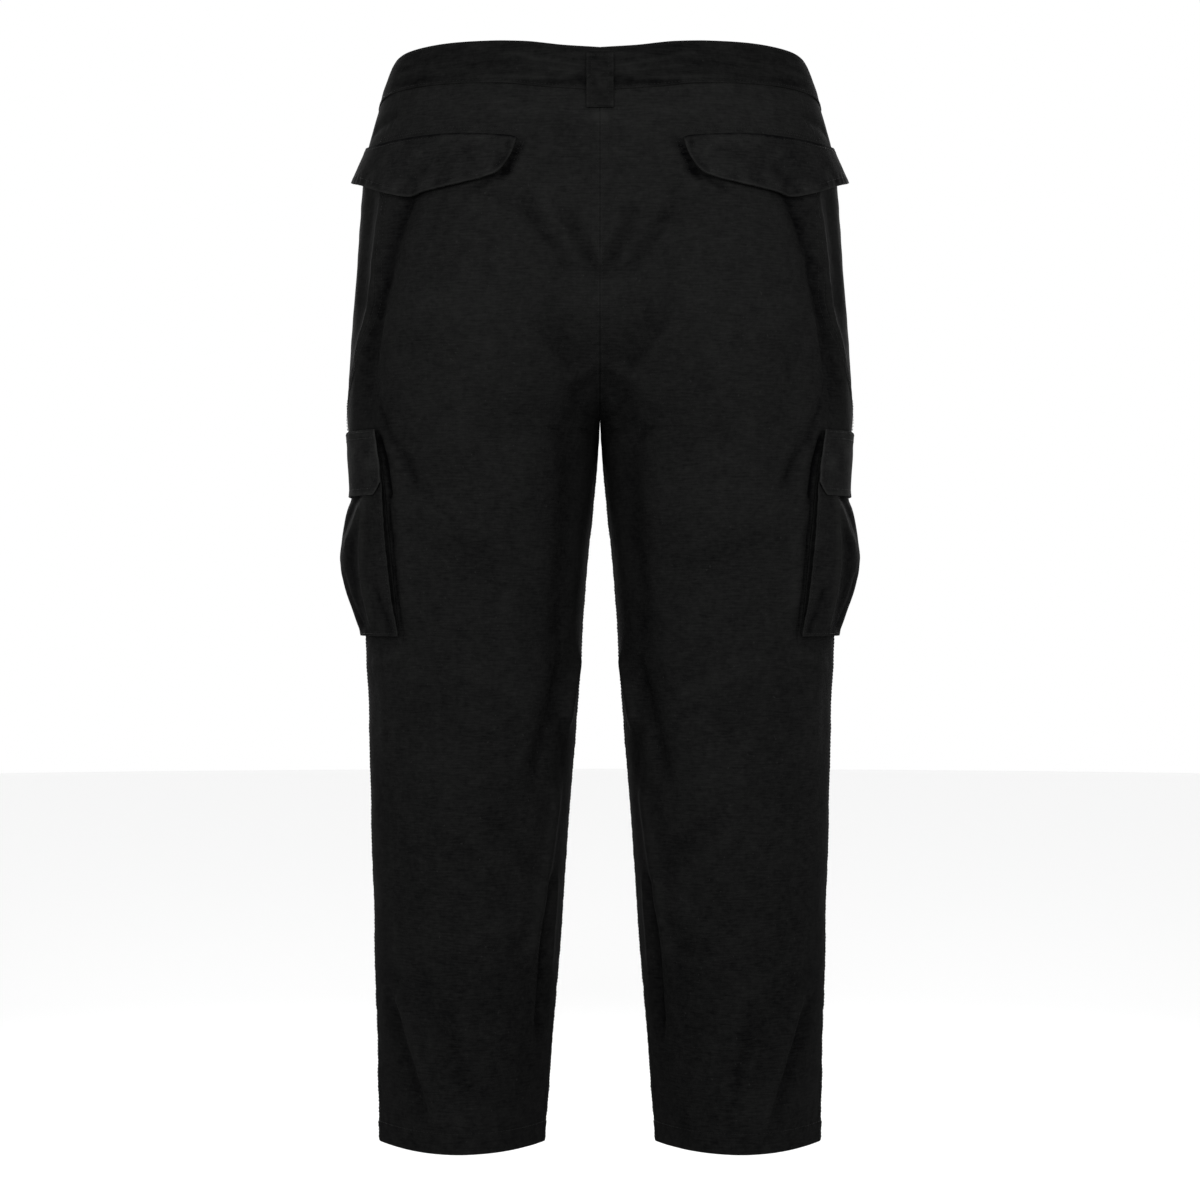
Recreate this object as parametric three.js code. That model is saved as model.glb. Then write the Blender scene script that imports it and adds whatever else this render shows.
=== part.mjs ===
import * as THREE from "three";

// Cargo trousers, filled out as when worn and hollow, in millimetres.
// +Z is up and the front faces -Y. The origin is the centre of the waist, at the waistband.
// The left half is worked out on +X, and the right half is its mirror image.
// A place on the cloth is given by its height z and by a, the distance round the leg from the
// middle of its outer side: a is positive towards the back and negative towards the front.

const WALL = 1.5; // cloth of the legs
const SEAM_GAP = 0.3; // between two pieces that are sewn together
const HALF_GAP = SEAM_GAP / 2;
const LAID_GAP = 0.9; // under a piece that lies on another
const BAND_GAP = 0.7; // below the waistband's curved edge

const HEM_Z = -1014;
const CROTCH_Z = -334;
const SEAT_RISE = 110; // height over which the crotch seam curves up into the seat

const WAISTBAND = { height: 39, wall: 2.6, proud: 1, overlap: 34, ramp: 22 };
const LOOP = { width: 25, wall: 1.4, top: -4, length: 52, slack: 1.2, settle: 8 };
const SIDE_LOOP_A = -46;
const FRONT_LOOP_A = -172;
const FLY = { width: 36, underlap: 5, length: 178, wall: 1.4, round: 32, end: 9 };
const BUTTON = { radius: 8.5, thickness: 3.2, round: 1, rim: 1.8, dish: 1, x: -17, drop: 20 };
const CARGO = { reach: 95, bottom: -529, mouth: -362, wall: 1.2, gusset: 1.2, fullness: 0.8 };
const CARGO_FLAP = {
  top: -336, bottom: -397, bend: 2, reach: 97, corner: 12, wall: 1.6, slack: 0.3,
};
const BACK_FLAP = { outer: -2, inner: 225, wall: 1.7, crowding: 0.85, curl: 1.2 };

// Sections from the waist down. outer and inner are the two sides of the leg, back and front
// its depth, backApex and frontApex how far out the fullest point lies, cleft how far the centre
// seam is drawn in, and lens how far the leg is flattened from an ellipse to two shallow arcs.
// Above the crotch, inner is half of the gap at the centre seam.
const SECTION_COLUMNS = [
  "z", "outer", "inner", "back", "front", "backApex", "frontApex", "cleft", "lens",
];
const SECTIONS = [
  [30, 190, 0.15, 127, 126, 24, 24, 0, 0],
  [5, 202, 0.15, 129, 127.5, 27, 27, 0, 0],
  [-20, 210, 0.15, 131, 129, 30, 30, 1, 0],
  [-80, 225, 0.15, 147, 136, 50, 40, 3, 0],
  [-130, 229.2, 0.15, 157, 138, 70, 52, 6, 0],
  [-180, 233, 0.15, 162, 136, 88, 68, 10, 0],
  [-230, 237, 0.15, 158, 131, 102, 88, 16, 0],
  [-280, 240, 0.15, 147, 127, 113, 106, 22, 0],
  [-327, 242.2, 0.15, 135, 124, 120, 120, 26, 0],
  [-336, 241, 0.6, 132, 123, 121, 121, 26, 0],
  [-351, 236.8, 2, 129, 122, 121, 121, 26, 0],
  [-375, 232.8, 4, 126, 121, 121, 121, 26, 0],
  [-399, 230.8, 6.2, 123, 120, 121, 121, 26, 0],
  [-457, 227.8, 12, 116, 116, 121, 121, 26, 0],
  [-533, 223.8, 18, 108, 111, 121, 121, 26, 0],
  [-591, 221.8, 21.6, 103, 108, 122, 122, 26, 0],
  [-687, 219.4, 28.8, 97, 101, 124, 124, 26, 0.05],
  [-783, 216.6, 35.5, 92, 92, 126, 126, 26, 0.2],
  [-879, 214, 43.2, 86, 84, 129, 129, 26, 0.45],
  [-975, 211.7, 50.4, 80, 80, 131, 131, 26, 0.7],
  [-1020, 210.6, 53.4, 78, 78, 132, 132, 26, 0.8],
];

// Where the outer seam runs: z, a. It swings to the back over the hip.
const OUTSEAM = [
  [30, 62], [-60, 76], [-119, 88], [-160, 90], [-208, 91], [-234, 82],
  [-251, 70], [-269, 56], [-300, 27], [-336, 0], [-1020, 0],
];

// The waistband's top edge: a, z. Its ends are the centre seams.
const CENTRE_FRONT_A = -270;
const CENTRE_BACK_A = 270;
const BAND_TOP = [
  [CENTRE_FRONT_A, -5], [-130, 1], [-40, 7.5], [0, 13], [30, 19], [60, 21.8], [100, 22.4],
  [155, 21], [190, 19], [230, 14.5],
  [CENTRE_BACK_A, 12],
];

// Creases, each with a half width and a height. A negative height is a trough.
const FOLD_COLUMNS = ["fromA", "fromZ", "toA", "toZ", "halfWidth", "height"];
const FOLD_ROWS = [
  [122, -120, 82, -305, 16, -9], // hip hollow behind the outer seam
  [58, -130, 60, -215, 14, -5], // hip hollow in front of it
  [254, -135, 302, -188, 10, -4.5], // seat creases drawn to the centre seam
  [299, -150, 330, -197, 9, -4.5],
  [290, -245, 311, -275, 13, -4.5],
  [334, -279, 298, -293, 8, 3],
  [338, -284, 298, -332, 10, -4],
  [104, -312, 128, -384, 8, -5], // pull from the corner of the thigh pocket
  [115, -352, 104, -495, 9, 3],
  [300, -365, 268, -514, 18, -5], // inner thigh
  [300, -556, 275, -605, 9, 5], // back of the knee
  [262, -570, 228, -645, 12, -6],
  [69, -590, 70, -628, 17, 3.5],
  [251, -684, 212, -824, 8, 4], // calf, inner side
  [251, -766, 241, -835, 7, 3],
  [243, -769, 223, -890, 8, -5],
  [213, -781, 149, -811, 10, 2.5],
  [62, -876, 98, -980, 7, 4], // calf, outer side
  [50, -890, 78, -965, 10, -5],
  [98, -873, 130, -945, 13, -2.5],
  [-62, -140, -92, -300, 15, -4.5], // front of the hip
  [-285, -255, -190, -200, 12, -4],
  [-300, -274, -205, -235, 9, 3],
  [-310, -296, -215, -262, 12, -4],
  [-290, -370, -262, -520, 18, -4],
  [-60, -600, -150, -640, 13, -5], // front of the knee
  [-70, -632, -160, -690, 11, 4],
  [-240, -590, -165, -655, 11, -4],
  [-80, -860, -140, -960, 11, -4], // shin
  [-205, -840, -165, -935, 9, 3],
];

// How far the thigh pocket stands out from the leg at its middle: z, lift.
const CARGO_BULGE = [
  [-533, 4.8], [-524, 6.6], [-514, 9.7], [-505, 12.3], [-495, 15.4], [-485, 17.8],
  [-476, 19.4], [-466, 20.6], [-457, 20.7], [-447, 20], [-437, 18.8], [-428, 16.9],
  [-418, 14.8], [-408, 11.6], [-399, 7.6], [-391, 6.2], [-375, 5.4], [-362, 4.3],
  [-350, 2.6], [-336, 0],
];
const CARGO_EDGE = [
  [-533, 4.4], [-500, 7.5], [-455, 8.5], [-410, 7.2], [-385, 5.8], [-362, 4.2], [-336, 0],
];

// The back flap's two edges and the lift of its lower edge: a, z or lift.
const BACK_FLAP_TOP = [[-2, -63], [69, -67], [144, -66], [217, -70.5], [225, -73]];
const BACK_FLAP_LOW = [
  [-2, -94.5], [37, -101.5], [76, -111], [100, -117], [125, -122], [156, -119.3],
  [175, -116.5], [205, -110.5], [216, -106.5], [222, -100], [225, -88],
];
const BACK_FLAP_LIFT = [[-2, 9.6], [37, 6.5], [76, 4], [125, 3], [200, 4], [225, 5]];

const CLOTH = new THREE.MeshStandardMaterial({ color: 0x1b1b1b, roughness: 0.9 });
const TRIM = new THREE.MeshStandardMaterial({ color: 0x1d1d1d, roughness: 0.88 });
const PLASTIC = new THREE.MeshStandardMaterial({ color: 0x101010, roughness: 0.45 });

const { lerp, clamp, smoothstep } = THREE.MathUtils;

// A smooth curve through a table's rows that never overshoots them.
function curve(rows, key, value) {
  const points = rows.map((r) => [r[key], r[value]]).sort((p, q) => p[0] - q[0]);
  const last = points.length - 1;
  const rise = (i) => (points[i + 1][1] - points[i][1]) / (points[i + 1][0] - points[i][0]);
  const slopes = points.map((_, i) => {
    if (i === 0 || i === last) return rise(Math.max(0, i - 1));
    const before = rise(i - 1);
    const after = rise(i);
    return before * after > 0 ? (2 * before * after) / (before + after) : 0;
  });
  return (at) => {
    const x = clamp(at, points[0][0], points[last][0]);
    let i = 0;
    while (i < last - 1 && points[i + 1][0] < x) i += 1;
    const step = points[i + 1][0] - points[i][0];
    const t = (x - points[i][0]) / step;
    return (
      (2 * t ** 3 - 3 * t ** 2 + 1) * points[i][1] +
      (t ** 3 - 2 * t ** 2 + t) * step * slopes[i] +
      (3 * t ** 2 - 2 * t ** 3) * points[i + 1][1] +
      (t ** 3 - t ** 2) * step * slopes[i + 1]
    );
  };
}

const shape = Object.fromEntries(
  SECTION_COLUMNS.map((name, column) => [name, curve(SECTIONS, 0, column)]),
);
const folds = FOLD_ROWS.map((row) =>
  Object.fromEntries(FOLD_COLUMNS.map((name, column) => [name, row[column]])),
);
const outseamAt = curve(OUTSEAM, 0, 1);
const bandTopAt = curve(BAND_TOP, 0, 1);
const bandBottomAt = (a) => bandTopAt(a) - WAISTBAND.height;
const cargoBulge = curve(CARGO_BULGE, 0, 1);
const cargoEdge = curve(CARGO_EDGE, 0, 1);
const backFlapTop = curve(BACK_FLAP_TOP, 0, 1);
const backFlapLow = curve(BACK_FLAP_LOW, 0, 1);
const backFlapLift = curve(BACK_FLAP_LIFT, 0, 1);

// Half of a level section: points from the outer side to the centre seam or inner seam, each
// with its distance from the outer side.
const SIDE_STEPS = 48;
const INNER_STEPS = 32;
const sectionCache = new Map();
function section(z, toBack) {
  const key = `${toBack} ${z.toFixed(3)}`;
  if (sectionCache.has(key)) return sectionCache.get(key);
  const outer = shape.outer(z);
  const depth = toBack ? shape.back(z) : shape.front(z);
  const torso = z > CROTCH_Z;
  const rise = torso ? clamp((z - CROTCH_Z) / SEAT_RISE, 0, 1) : 0;
  const drawnIn = shape.cleft(z) * (toBack ? 1 : 0.5);
  const seamX = torso ? HALF_GAP : shape.inner(z);
  const seamY = (depth - drawnIn) * Math.sqrt(1 - (1 - rise) ** 2);
  const torsoApex = toBack ? shape.backApex(z) : shape.frontApex(z);
  const apex = torso ? torsoApex : (outer + seamX) / 2;
  const bridged = rise * rise * (3 - 2 * rise);
  const roundEnd = Math.acos(Math.min(seamY / depth, 0.99));
  const roundWidth = (apex - seamX) / Math.sin(roundEnd);
  const lens = shape.lens(z);
  const flattened = (height) => depth * lerp(height, height ** 2, lens);
  const points = [];
  for (let i = 0; i <= SIDE_STEPS; i += 1) {
    const turn = (i / SIDE_STEPS) * (Math.PI / 2);
    points.push([apex + (outer - apex) * Math.cos(turn), flattened(Math.sin(turn))]);
  }
  for (let i = 1; i <= INNER_STEPS; i += 1) {
    const t = i / INNER_STEPS;
    const turn = t * roundEnd;
    const round = [apex - roundWidth * Math.sin(turn), flattened(Math.cos(turn))];
    const bridge = [lerp(apex, seamX, t), lerp(seamY, depth, 0.5 + 0.5 * Math.cos(Math.PI * t))];
    points.push([lerp(round[0], bridge[0], bridged), lerp(round[1], bridge[1], bridged)]);
  }
  let run = 0;
  const made = points.map(([x, y], i) => {
    if (i) run += Math.hypot(x - points[i - 1][0], y - points[i - 1][1]);
    return { x, y: toBack ? y : -y, run };
  });
  sectionCache.set(key, made);
  return made;
}

const halfGirth = (z, toBack) => section(z, toBack).at(-1).run;

// How far creases move the cloth outwards. Past its ends, a crease fades out over FADE times
// its half width.
const FADE = 1.5;
function foldLift(z, a) {
  let lift = 0;
  for (const { fromA, fromZ, toA, toZ, halfWidth, height } of folds) {
    const along = [toA - fromA, toZ - fromZ];
    const length = Math.hypot(...along);
    const t = ((a - fromA) * along[0] + (z - fromZ) * along[1]) / length ** 2;
    const across = ((a - fromA) * along[1] - (z - fromZ) * along[0]) / length;
    const past = Math.max(0, -t, t - 1) * length;
    lift += height * Math.exp(-((across / halfWidth) ** 2) - (past / (FADE * halfWidth)) ** 2);
  }
  return lift;
}

// A spot of the cloth's outer face: its place, its a, and the level direction that it faces.
function cloth(z, a) {
  const rows = section(z, a >= 0);
  const along = clamp(Math.abs(a), 0, rows.at(-1).run);
  let i = 1;
  while (i < rows.length - 1 && rows[i].run < along) i += 1;
  const share = (along - rows[i - 1].run) / (rows[i].run - rows[i - 1].run);
  const before = rows[Math.max(0, i - 2)];
  const after = rows[Math.min(rows.length - 1, i + 1)];
  const tangent = new THREE.Vector2(after.x - before.x, after.y - before.y).normalize();
  if (a < 0) tangent.negate();
  if (i === 1) tangent.set(0, 1);
  if (i === rows.length - 1 && z <= CROTCH_Z) tangent.set(0, -1);
  const spot = { z, a, outX: tangent.y, outY: -tangent.x };
  const fold = foldLift(z, a);
  spot.x = Math.max(HALF_GAP, lerp(rows[i - 1].x, rows[i].x, share) + spot.outX * fold);
  spot.y = lerp(rows[i - 1].y, rows[i].y, share) + spot.outY * fold;
  return spot;
}

function blend(p, q, share) {
  return Object.fromEntries(Object.keys(p).map((key) => [key, lerp(p[key], q[key], share)]));
}

// A point of the left half, moved out by lift from a spot, clear of the centre seam.
function movedOut({ x, y, z, outX, outY }, lift) {
  const length = Math.hypot(outX, outY);
  const step = lift / length;
  return new THREE.Vector3(Math.max(HALF_GAP, x + outX * step), y + outY * step, z);
}

// A point near the centre seam, found by x, which may lie on either half.
function acrossCentre(spotAt, x, lift) {
  const spot = spotAt(Math.max(Math.abs(x), HALF_GAP));
  return new THREE.Vector3(x, spot.y + Math.sign(spot.outY) * lift, spot.z);
}

// The spot of the cloth at a height and an x.
const SAMPLES = 60;
function bandSpot(z, toBack, x) {
  const reach = halfGirth(z, toBack) * (toBack ? 1 : -1);
  const row = [];
  for (let i = 0; i <= SAMPLES; i += 1) row.push(cloth(z, reach * (1 - i / SAMPLES)));
  return alongRow(row, "x", x);
}

// A closed wall of cloth. place(u, v, outside) gives a point of its face: u runs with a,
// v runs upwards, and outside is 1 on the outer face and 0 on the inner one. Both faces are
// cut into triangles along the same diagonals, so that the wall stays even where it twists.
function wall(columns, rows, place) {
  const slab = new THREE.BoxGeometry(1, 1, 1, columns, rows, 1);
  const spots = slab.getAttribute("position");
  const at = new THREE.Vector3();
  for (let i = 0; i < spots.count; i += 1) {
    at.fromBufferAttribute(spots, i).addScalar(0.5);
    const p = place(at.x, at.y, Math.round(at.z));
    spots.setXYZ(i, p.x, p.y, p.z);
  }
  const corners = slab.index.array;
  const { start, count } = slab.groups.at(-1);
  for (let i = start; i < start + count; i += 6) {
    const [a, b, d, , c] = corners.slice(i, i + 6);
    corners.set([a, b, c, a, c, d], i);
  }
  return slab;
}

// Level lines of the leg panels, close together where the crotch seam curves.
const LEG_ROWS = 21;
const SEAT_ROWS = 7;
const HIP_ROWS = 6;
const PANEL_ROWS = LEG_ROWS + SEAT_ROWS + HIP_ROWS;
function panelZ(row, a) {
  const seatZ = CROTCH_Z + SEAT_RISE;
  if (row <= LEG_ROWS) return lerp(HEM_Z, CROTCH_Z, row / LEG_ROWS);
  if (row <= LEG_ROWS + SEAT_ROWS) {
    const turn = ((row - LEG_ROWS) / SEAT_ROWS) * (Math.PI / 2);
    return lerp(CROTCH_Z, seatZ, 1 - Math.cos(turn));
  }
  const share = (row - LEG_ROWS - SEAT_ROWS) / HIP_ROWS;
  return lerp(seatZ, bandBottomAt(a) - BAND_GAP, share);
}

// How far round a panel reaches at a height, from its lower a to its higher one.
function panelSpan(z, toBack) {
  const reach = halfGirth(z, toBack) - HALF_GAP;
  return toBack
    ? [outseamAt(z) + HALF_GAP, reach]
    : [-reach, outseamAt(z) - HALF_GAP];
}

// The outer face of a leg panel: rows of points from the hem up.
const BACK_COLUMNS = 20;
const FRONT_COLUMNS = 13;
function panelFace(toBack) {
  const columns = toBack ? BACK_COLUMNS : FRONT_COLUMNS;
  const rows = [];
  for (let row = 0; row <= PANEL_ROWS; row += 1) {
    rows.push([]);
    for (let column = 0; column <= columns; column += 1) {
      const nearly = lerp(...panelSpan(panelZ(row, 0), toBack), column / columns);
      const z = panelZ(row, nearly);
      rows[row].push(cloth(z, lerp(...panelSpan(z, toBack), column / columns)));
    }
  }
  return rows;
}
const backFace = panelFace(true);
const frontFace = panelFace(false);

// The way that the cloth faces at a spot, from how the level lines beside it lie.
const LEVEL_STEP = 2;
function facing({ z, a, outX, outY }) {
  const above = cloth(z + LEVEL_STEP, a);
  const below = cloth(z - LEVEL_STEP, a);
  const lean = ((above.x - below.x) * outX + (above.y - below.y) * outY) / (2 * LEVEL_STEP);
  return new THREE.Vector3(outX, outY, -lean).normalize();
}

function legPanel(face) {
  const columns = face[0].length - 1;
  return wall(columns, PANEL_ROWS, (u, v, outside) => {
    const spot = face[Math.round(v * PANEL_ROWS)][Math.round(u * columns)];
    const at = new THREE.Vector3(spot.x, spot.y, spot.z);
    if (!outside) at.addScaledVector(facing(spot), -WALL);
    at.x = Math.max(HALF_GAP, at.x);
    return at;
  });
}

// The spot of a row where key, which is its a or x, has the wanted value.
function alongRow(row, key, value) {
  const rises = row.at(-1)[key] > row[0][key];
  let i = 0;
  while (i < row.length - 2 && (rises ? row[i + 1][key] < value : row[i + 1][key] > value)) i += 1;
  const share = (value - row[i][key]) / (row[i + 1][key] - row[i][key]);
  return blend(row[i], row[i + 1], clamp(share, 0, 1));
}

// A spot of a leg panel's own face, at a height and an a or x.
function onPanelSpot(face, z, key, value) {
  let row = 0;
  while (row < PANEL_ROWS - 1 && alongRow(face[row + 1], key, value).z < z) row += 1;
  const below = alongRow(face[row], key, value);
  const above = alongRow(face[row + 1], key, value);
  return blend(below, above, (z - below.z) / (above.z - below.z));
}
function onLeg(z, a, lift) {
  return movedOut(onPanelSpot(a > outseamAt(z) ? backFace : frontFace, z, "a", a), lift);
}

// Half of the waistband. With an overlap it runs on across the centre front over the other half.
const BAND_COLUMNS = 26;
const OVERLAP_COLUMNS = 3;
function waistband(overlapped) {
  const extra = overlapped ? OVERLAP_COLUMNS : 0;
  const columns = BAND_COLUMNS + extra;
  const stacked = WAISTBAND.wall + SEAM_GAP;
  return wall(columns, 2, (u, v, outside) => {
    const column = u * columns;
    const depth = outside ? WAISTBAND.proud : WAISTBAND.proud - WAISTBAND.wall;
    if (column < extra) {
      const x = -WAISTBAND.overlap * (1 - column / extra);
      const z = bandTopAt(CENTRE_FRONT_A) - WAISTBAND.height * (1 - v);
      return acrossCentre((at) => bandSpot(z, false, at), x, depth + stacked);
    }
    const share = (column - extra) / BAND_COLUMNS;
    const level = bandTopAt(0) - WAISTBAND.height * (1 - v);
    const frontGirth = halfGirth(level, false) - HALF_GAP;
    const backGirth = halfGirth(level, true) - HALF_GAP;
    const a = share < 0.5 ? -frontGirth * (1 - 2 * share) : backGirth * (2 * share - 1);
    const z = bandTopAt(a) - WAISTBAND.height * (1 - v);
    const fromFront = share < 0.5 ? frontGirth + a : WAISTBAND.ramp;
    const onTop = overlapped ? 1 - smoothstep(fromFront, 0, WAISTBAND.ramp) : 0;
    return movedOut(cloth(z, a), depth + stacked * onTop);
  });
}

// A belt loop: it lies across the waistband, square to it, and is sewn down below it.
const loopLift = (v, z, bottom) => {
  const belowBand = smoothstep(bottom - z, 0, LOOP.settle);
  const slack = LOOP.slack * Math.sin(Math.PI * v);
  return lerp(WAISTBAND.proud + slack, 0, belowBand) + LAID_GAP;
};
const LOOP_ROWS = 8;
function beltLoop(centre) {
  const share = centre / halfGirth(bandTopAt(centre), centre > 0);
  return wall(2, LOOP_ROWS, (u, v, outside) => {
    const below = LOOP.length * (1 - v) - LOOP.top;
    const middle = share * halfGirth(bandTopAt(centre) - below, centre > 0);
    const a = middle + (u - 0.5) * LOOP.width;
    const z = bandTopAt(a) - below;
    const lift = loopLift(v, z, bandBottomAt(a)) + (outside ? LOOP.wall : 0);
    return movedOut(cloth(z, a), lift);
  });
}
function backLoop() {
  return wall(4, LOOP_ROWS, (u, v, outside) => {
    const x = (0.5 - u) * LOOP.width;
    const z = bandTopAt(CENTRE_BACK_A) + LOOP.top - LOOP.length * (1 - v);
    const lift = loopLift(v, z, bandBottomAt(CENTRE_BACK_A)) + (outside ? LOOP.wall : 0);
    return acrossCentre((at) => bandSpot(z, true, at), x, lift);
  });
}

// The fly's placket lies over the centre front seam and ends in a curve.
function flyPlacket() {
  const top = bandBottomAt(CENTRE_FRONT_A) - 2 * SEAM_GAP;
  return wall(5, 12, (u, v, outside) => {
    const down = FLY.length * (1 - v);
    const past = clamp((down - (FLY.length - FLY.round)) / FLY.round, 0, 1);
    const edge = lerp(FLY.end - FLY.underlap, FLY.width, Math.sqrt(1 - past ** 2));
    const x = lerp(-FLY.underlap, edge, u);
    const spotAt = (at) => onPanelSpot(frontFace, top - down, "x", at);
    return acrossCentre(spotAt, x, LAID_GAP + (outside ? FLY.wall : 0));
  });
}

// The button sits on the foremost spot of the waistband behind it.
const BUTTON_SIDES = 24;
function waistButton() {
  const { radius, thickness, round, rim, dish, x } = BUTTON;
  const profile = [
    [0, 0], [radius - round, 0], [radius, round], [radius, thickness - round],
    [radius - round, thickness], [radius - rim, thickness],
    [radius - rim - dish, thickness - dish], [0, thickness - dish],
  ].map(([r, h]) => new THREE.Vector2(r, h));
  const button = new THREE.LatheGeometry(profile, BUTTON_SIDES).rotateX(Math.PI);
  const z = bandTopAt(CENTRE_FRONT_A) - BUTTON.drop;
  const onBand = WAISTBAND.proud + WAISTBAND.wall + 2 * SEAM_GAP;
  let foremost = 0;
  for (const aside of [-radius, 0, radius]) {
    for (const up of [-radius, 0, radius]) {
      const behind = acrossCentre((at) => bandSpot(z + up, false, at), x + aside, onBand);
      foremost = Math.min(foremost, behind.y);
    }
  }
  return button.translate(x, foremost - HALF_GAP, z);
}

// How far the thigh pocket's face stands out from the leg.
function cargoLift(z, a) {
  const share = clamp(Math.abs(a) / CARGO.reach, 0, 1);
  const round = Math.cos((share * Math.PI) / 2) ** CARGO.fullness;
  return lerp(cargoEdge(z), cargoBulge(z), round);
}

// The pocket's level lines. One of them lies at the flap's lower edge, where the face bends.
const CARGO_LOW_ROWS = 8;
const CARGO_HIGH_ROWS = 3;
const CARGO_ROWS = CARGO_LOW_ROWS + CARGO_HIGH_ROWS;
const CARGO_COLUMNS = 14;
function cargoZ(row, bottom) {
  const bend = CARGO_FLAP.bottom - CARGO_FLAP.bend;
  if (row <= CARGO_LOW_ROWS) return lerp(bottom, bend, row / CARGO_LOW_ROWS);
  return lerp(bend, CARGO.mouth, (row - CARGO_LOW_ROWS) / CARGO_HIGH_ROWS);
}

function cargoFace() {
  return wall(CARGO_COLUMNS, CARGO_ROWS, (u, v, outside) => {
    const a = lerp(-CARGO.reach, CARGO.reach, u);
    const z = cargoZ(v * CARGO_ROWS, CARGO.bottom);
    return onLeg(z, a, cargoLift(z, a) - (outside ? 0 : CARGO.wall));
  });
}

// The strip that runs down one side of the pocket, along its bottom and up the other side.
function cargoGusset() {
  const columns = 2 * CARGO_ROWS + CARGO_COLUMNS;
  return wall(columns, 1, (u, v, outside) => {
    const inset = outside ? 0 : CARGO.gusset;
    const column = u * columns;
    const across = clamp((column - CARGO_ROWS) / CARGO_COLUMNS, 0, 1);
    const a = lerp(inset - CARGO.reach, CARGO.reach - inset, across);
    const climb = Math.max(CARGO_ROWS - column, column - CARGO_ROWS - CARGO_COLUMNS, 0);
    const z = cargoZ(climb, CARGO.bottom + inset);
    const underFace = cargoLift(z, a) - CARGO.wall - 2 * SEAM_GAP;
    return onLeg(z, a, v < 0.5 ? LAID_GAP : underFace);
  });
}

function cargoFlap() {
  return wall(16, 5, (u, v, outside) => {
    const a = lerp(-CARGO_FLAP.reach, CARGO_FLAP.reach, u);
    const cut = Math.max(0, Math.abs(a) - CARGO_FLAP.reach + CARGO_FLAP.corner);
    const z = lerp(CARGO_FLAP.bottom + cut, CARGO_FLAP.top, v);
    const lift = cargoLift(z, a) + LAID_GAP + CARGO_FLAP.slack * (1 - v);
    return onLeg(z, a, lift + (outside ? CARGO_FLAP.wall : 0));
  });
}

function backPocketFlap() {
  return wall(18, 4, (u, v, outside) => {
    const a = lerp(BACK_FLAP.outer, BACK_FLAP.inner, u ** BACK_FLAP.crowding);
    const z = lerp(backFlapLow(a), backFlapTop(a), v);
    const lift = LAID_GAP + backFlapLift(a) * (1 - v) ** BACK_FLAP.curl;
    return onLeg(z, a, lift + (outside ? BACK_FLAP.wall : 0));
  });
}

const trousers = new THREE.Group();
trousers.name = "cargo_trousers";
function add(name, geometry, material, mirrored = false) {
  const mesh = new THREE.Mesh(geometry, material);
  mesh.name = name;
  if (mirrored) mesh.scale.x = -1;
  trousers.add(mesh);
}

for (const side of ["left", "right"]) {
  const mirrored = side === "right";
  add(`back_leg_${side}`, legPanel(backFace), CLOTH, mirrored);
  add(`front_leg_${side}`, legPanel(frontFace), CLOTH, mirrored);
  add(`waistband_${side}`, waistband(!mirrored), TRIM, mirrored);
  add(`belt_loop_side_${side}`, beltLoop(SIDE_LOOP_A), TRIM, mirrored);
  add(`belt_loop_front_${side}`, beltLoop(FRONT_LOOP_A), TRIM, mirrored);
  add(`back_flap_${side}`, backPocketFlap(), TRIM, mirrored);
  add(`cargo_face_${side}`, cargoFace(), CLOTH, mirrored);
  add(`cargo_gusset_${side}`, cargoGusset(), CLOTH, mirrored);
  add(`cargo_flap_${side}`, cargoFlap(), TRIM, mirrored);
}
add("belt_loop_back", backLoop(), TRIM);
add("fly_placket", flyPlacket(), TRIM);
add("waist_button", waistButton(), PLASTIC);

export default trousers;
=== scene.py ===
"""Cargo trousers of washed black cotton twill, filled out as worn and seen from the back.

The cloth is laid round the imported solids. A place on it is given by its height z and by a, the
distance round the leg from the middle of its outer side: positive towards the back, negative
towards the front. Tables and places are in millimetres, and MM turns them into metres.
"""

import math
from itertools import pairwise

import bmesh
import bpy
import numpy as np
from bpy.props import FloatProperty, FloatVectorProperty, PointerProperty
from mathutils import Matrix, Vector


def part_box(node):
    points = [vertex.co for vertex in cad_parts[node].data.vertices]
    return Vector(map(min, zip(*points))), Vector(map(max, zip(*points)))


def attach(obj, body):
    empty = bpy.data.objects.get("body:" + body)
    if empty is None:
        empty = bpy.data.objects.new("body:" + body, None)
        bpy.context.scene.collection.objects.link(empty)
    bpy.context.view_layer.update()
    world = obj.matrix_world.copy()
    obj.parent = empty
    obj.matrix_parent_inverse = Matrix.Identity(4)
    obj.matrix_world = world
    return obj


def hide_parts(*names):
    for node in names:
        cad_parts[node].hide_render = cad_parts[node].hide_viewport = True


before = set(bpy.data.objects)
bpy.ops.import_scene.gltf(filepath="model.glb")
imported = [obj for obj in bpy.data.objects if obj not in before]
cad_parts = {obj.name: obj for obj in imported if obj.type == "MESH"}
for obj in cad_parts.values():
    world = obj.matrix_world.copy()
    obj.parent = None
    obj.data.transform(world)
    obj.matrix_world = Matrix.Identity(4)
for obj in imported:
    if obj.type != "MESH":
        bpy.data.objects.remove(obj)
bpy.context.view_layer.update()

bl_info = {
    "name": "Cargo Trousers",
    "version": (1, 0, 0),
    "blender": (4, 5, 0),
    "location": "View3D > Sidebar > Trousers",
    "description": "Makes cargo trousers of washed twill with flapped pockets",
    "category": "Add Mesh",
}

MM = 0.001
SIDES = {"left": 1, "right": -1}

# The trousers' sizes, as in their solids.

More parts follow.
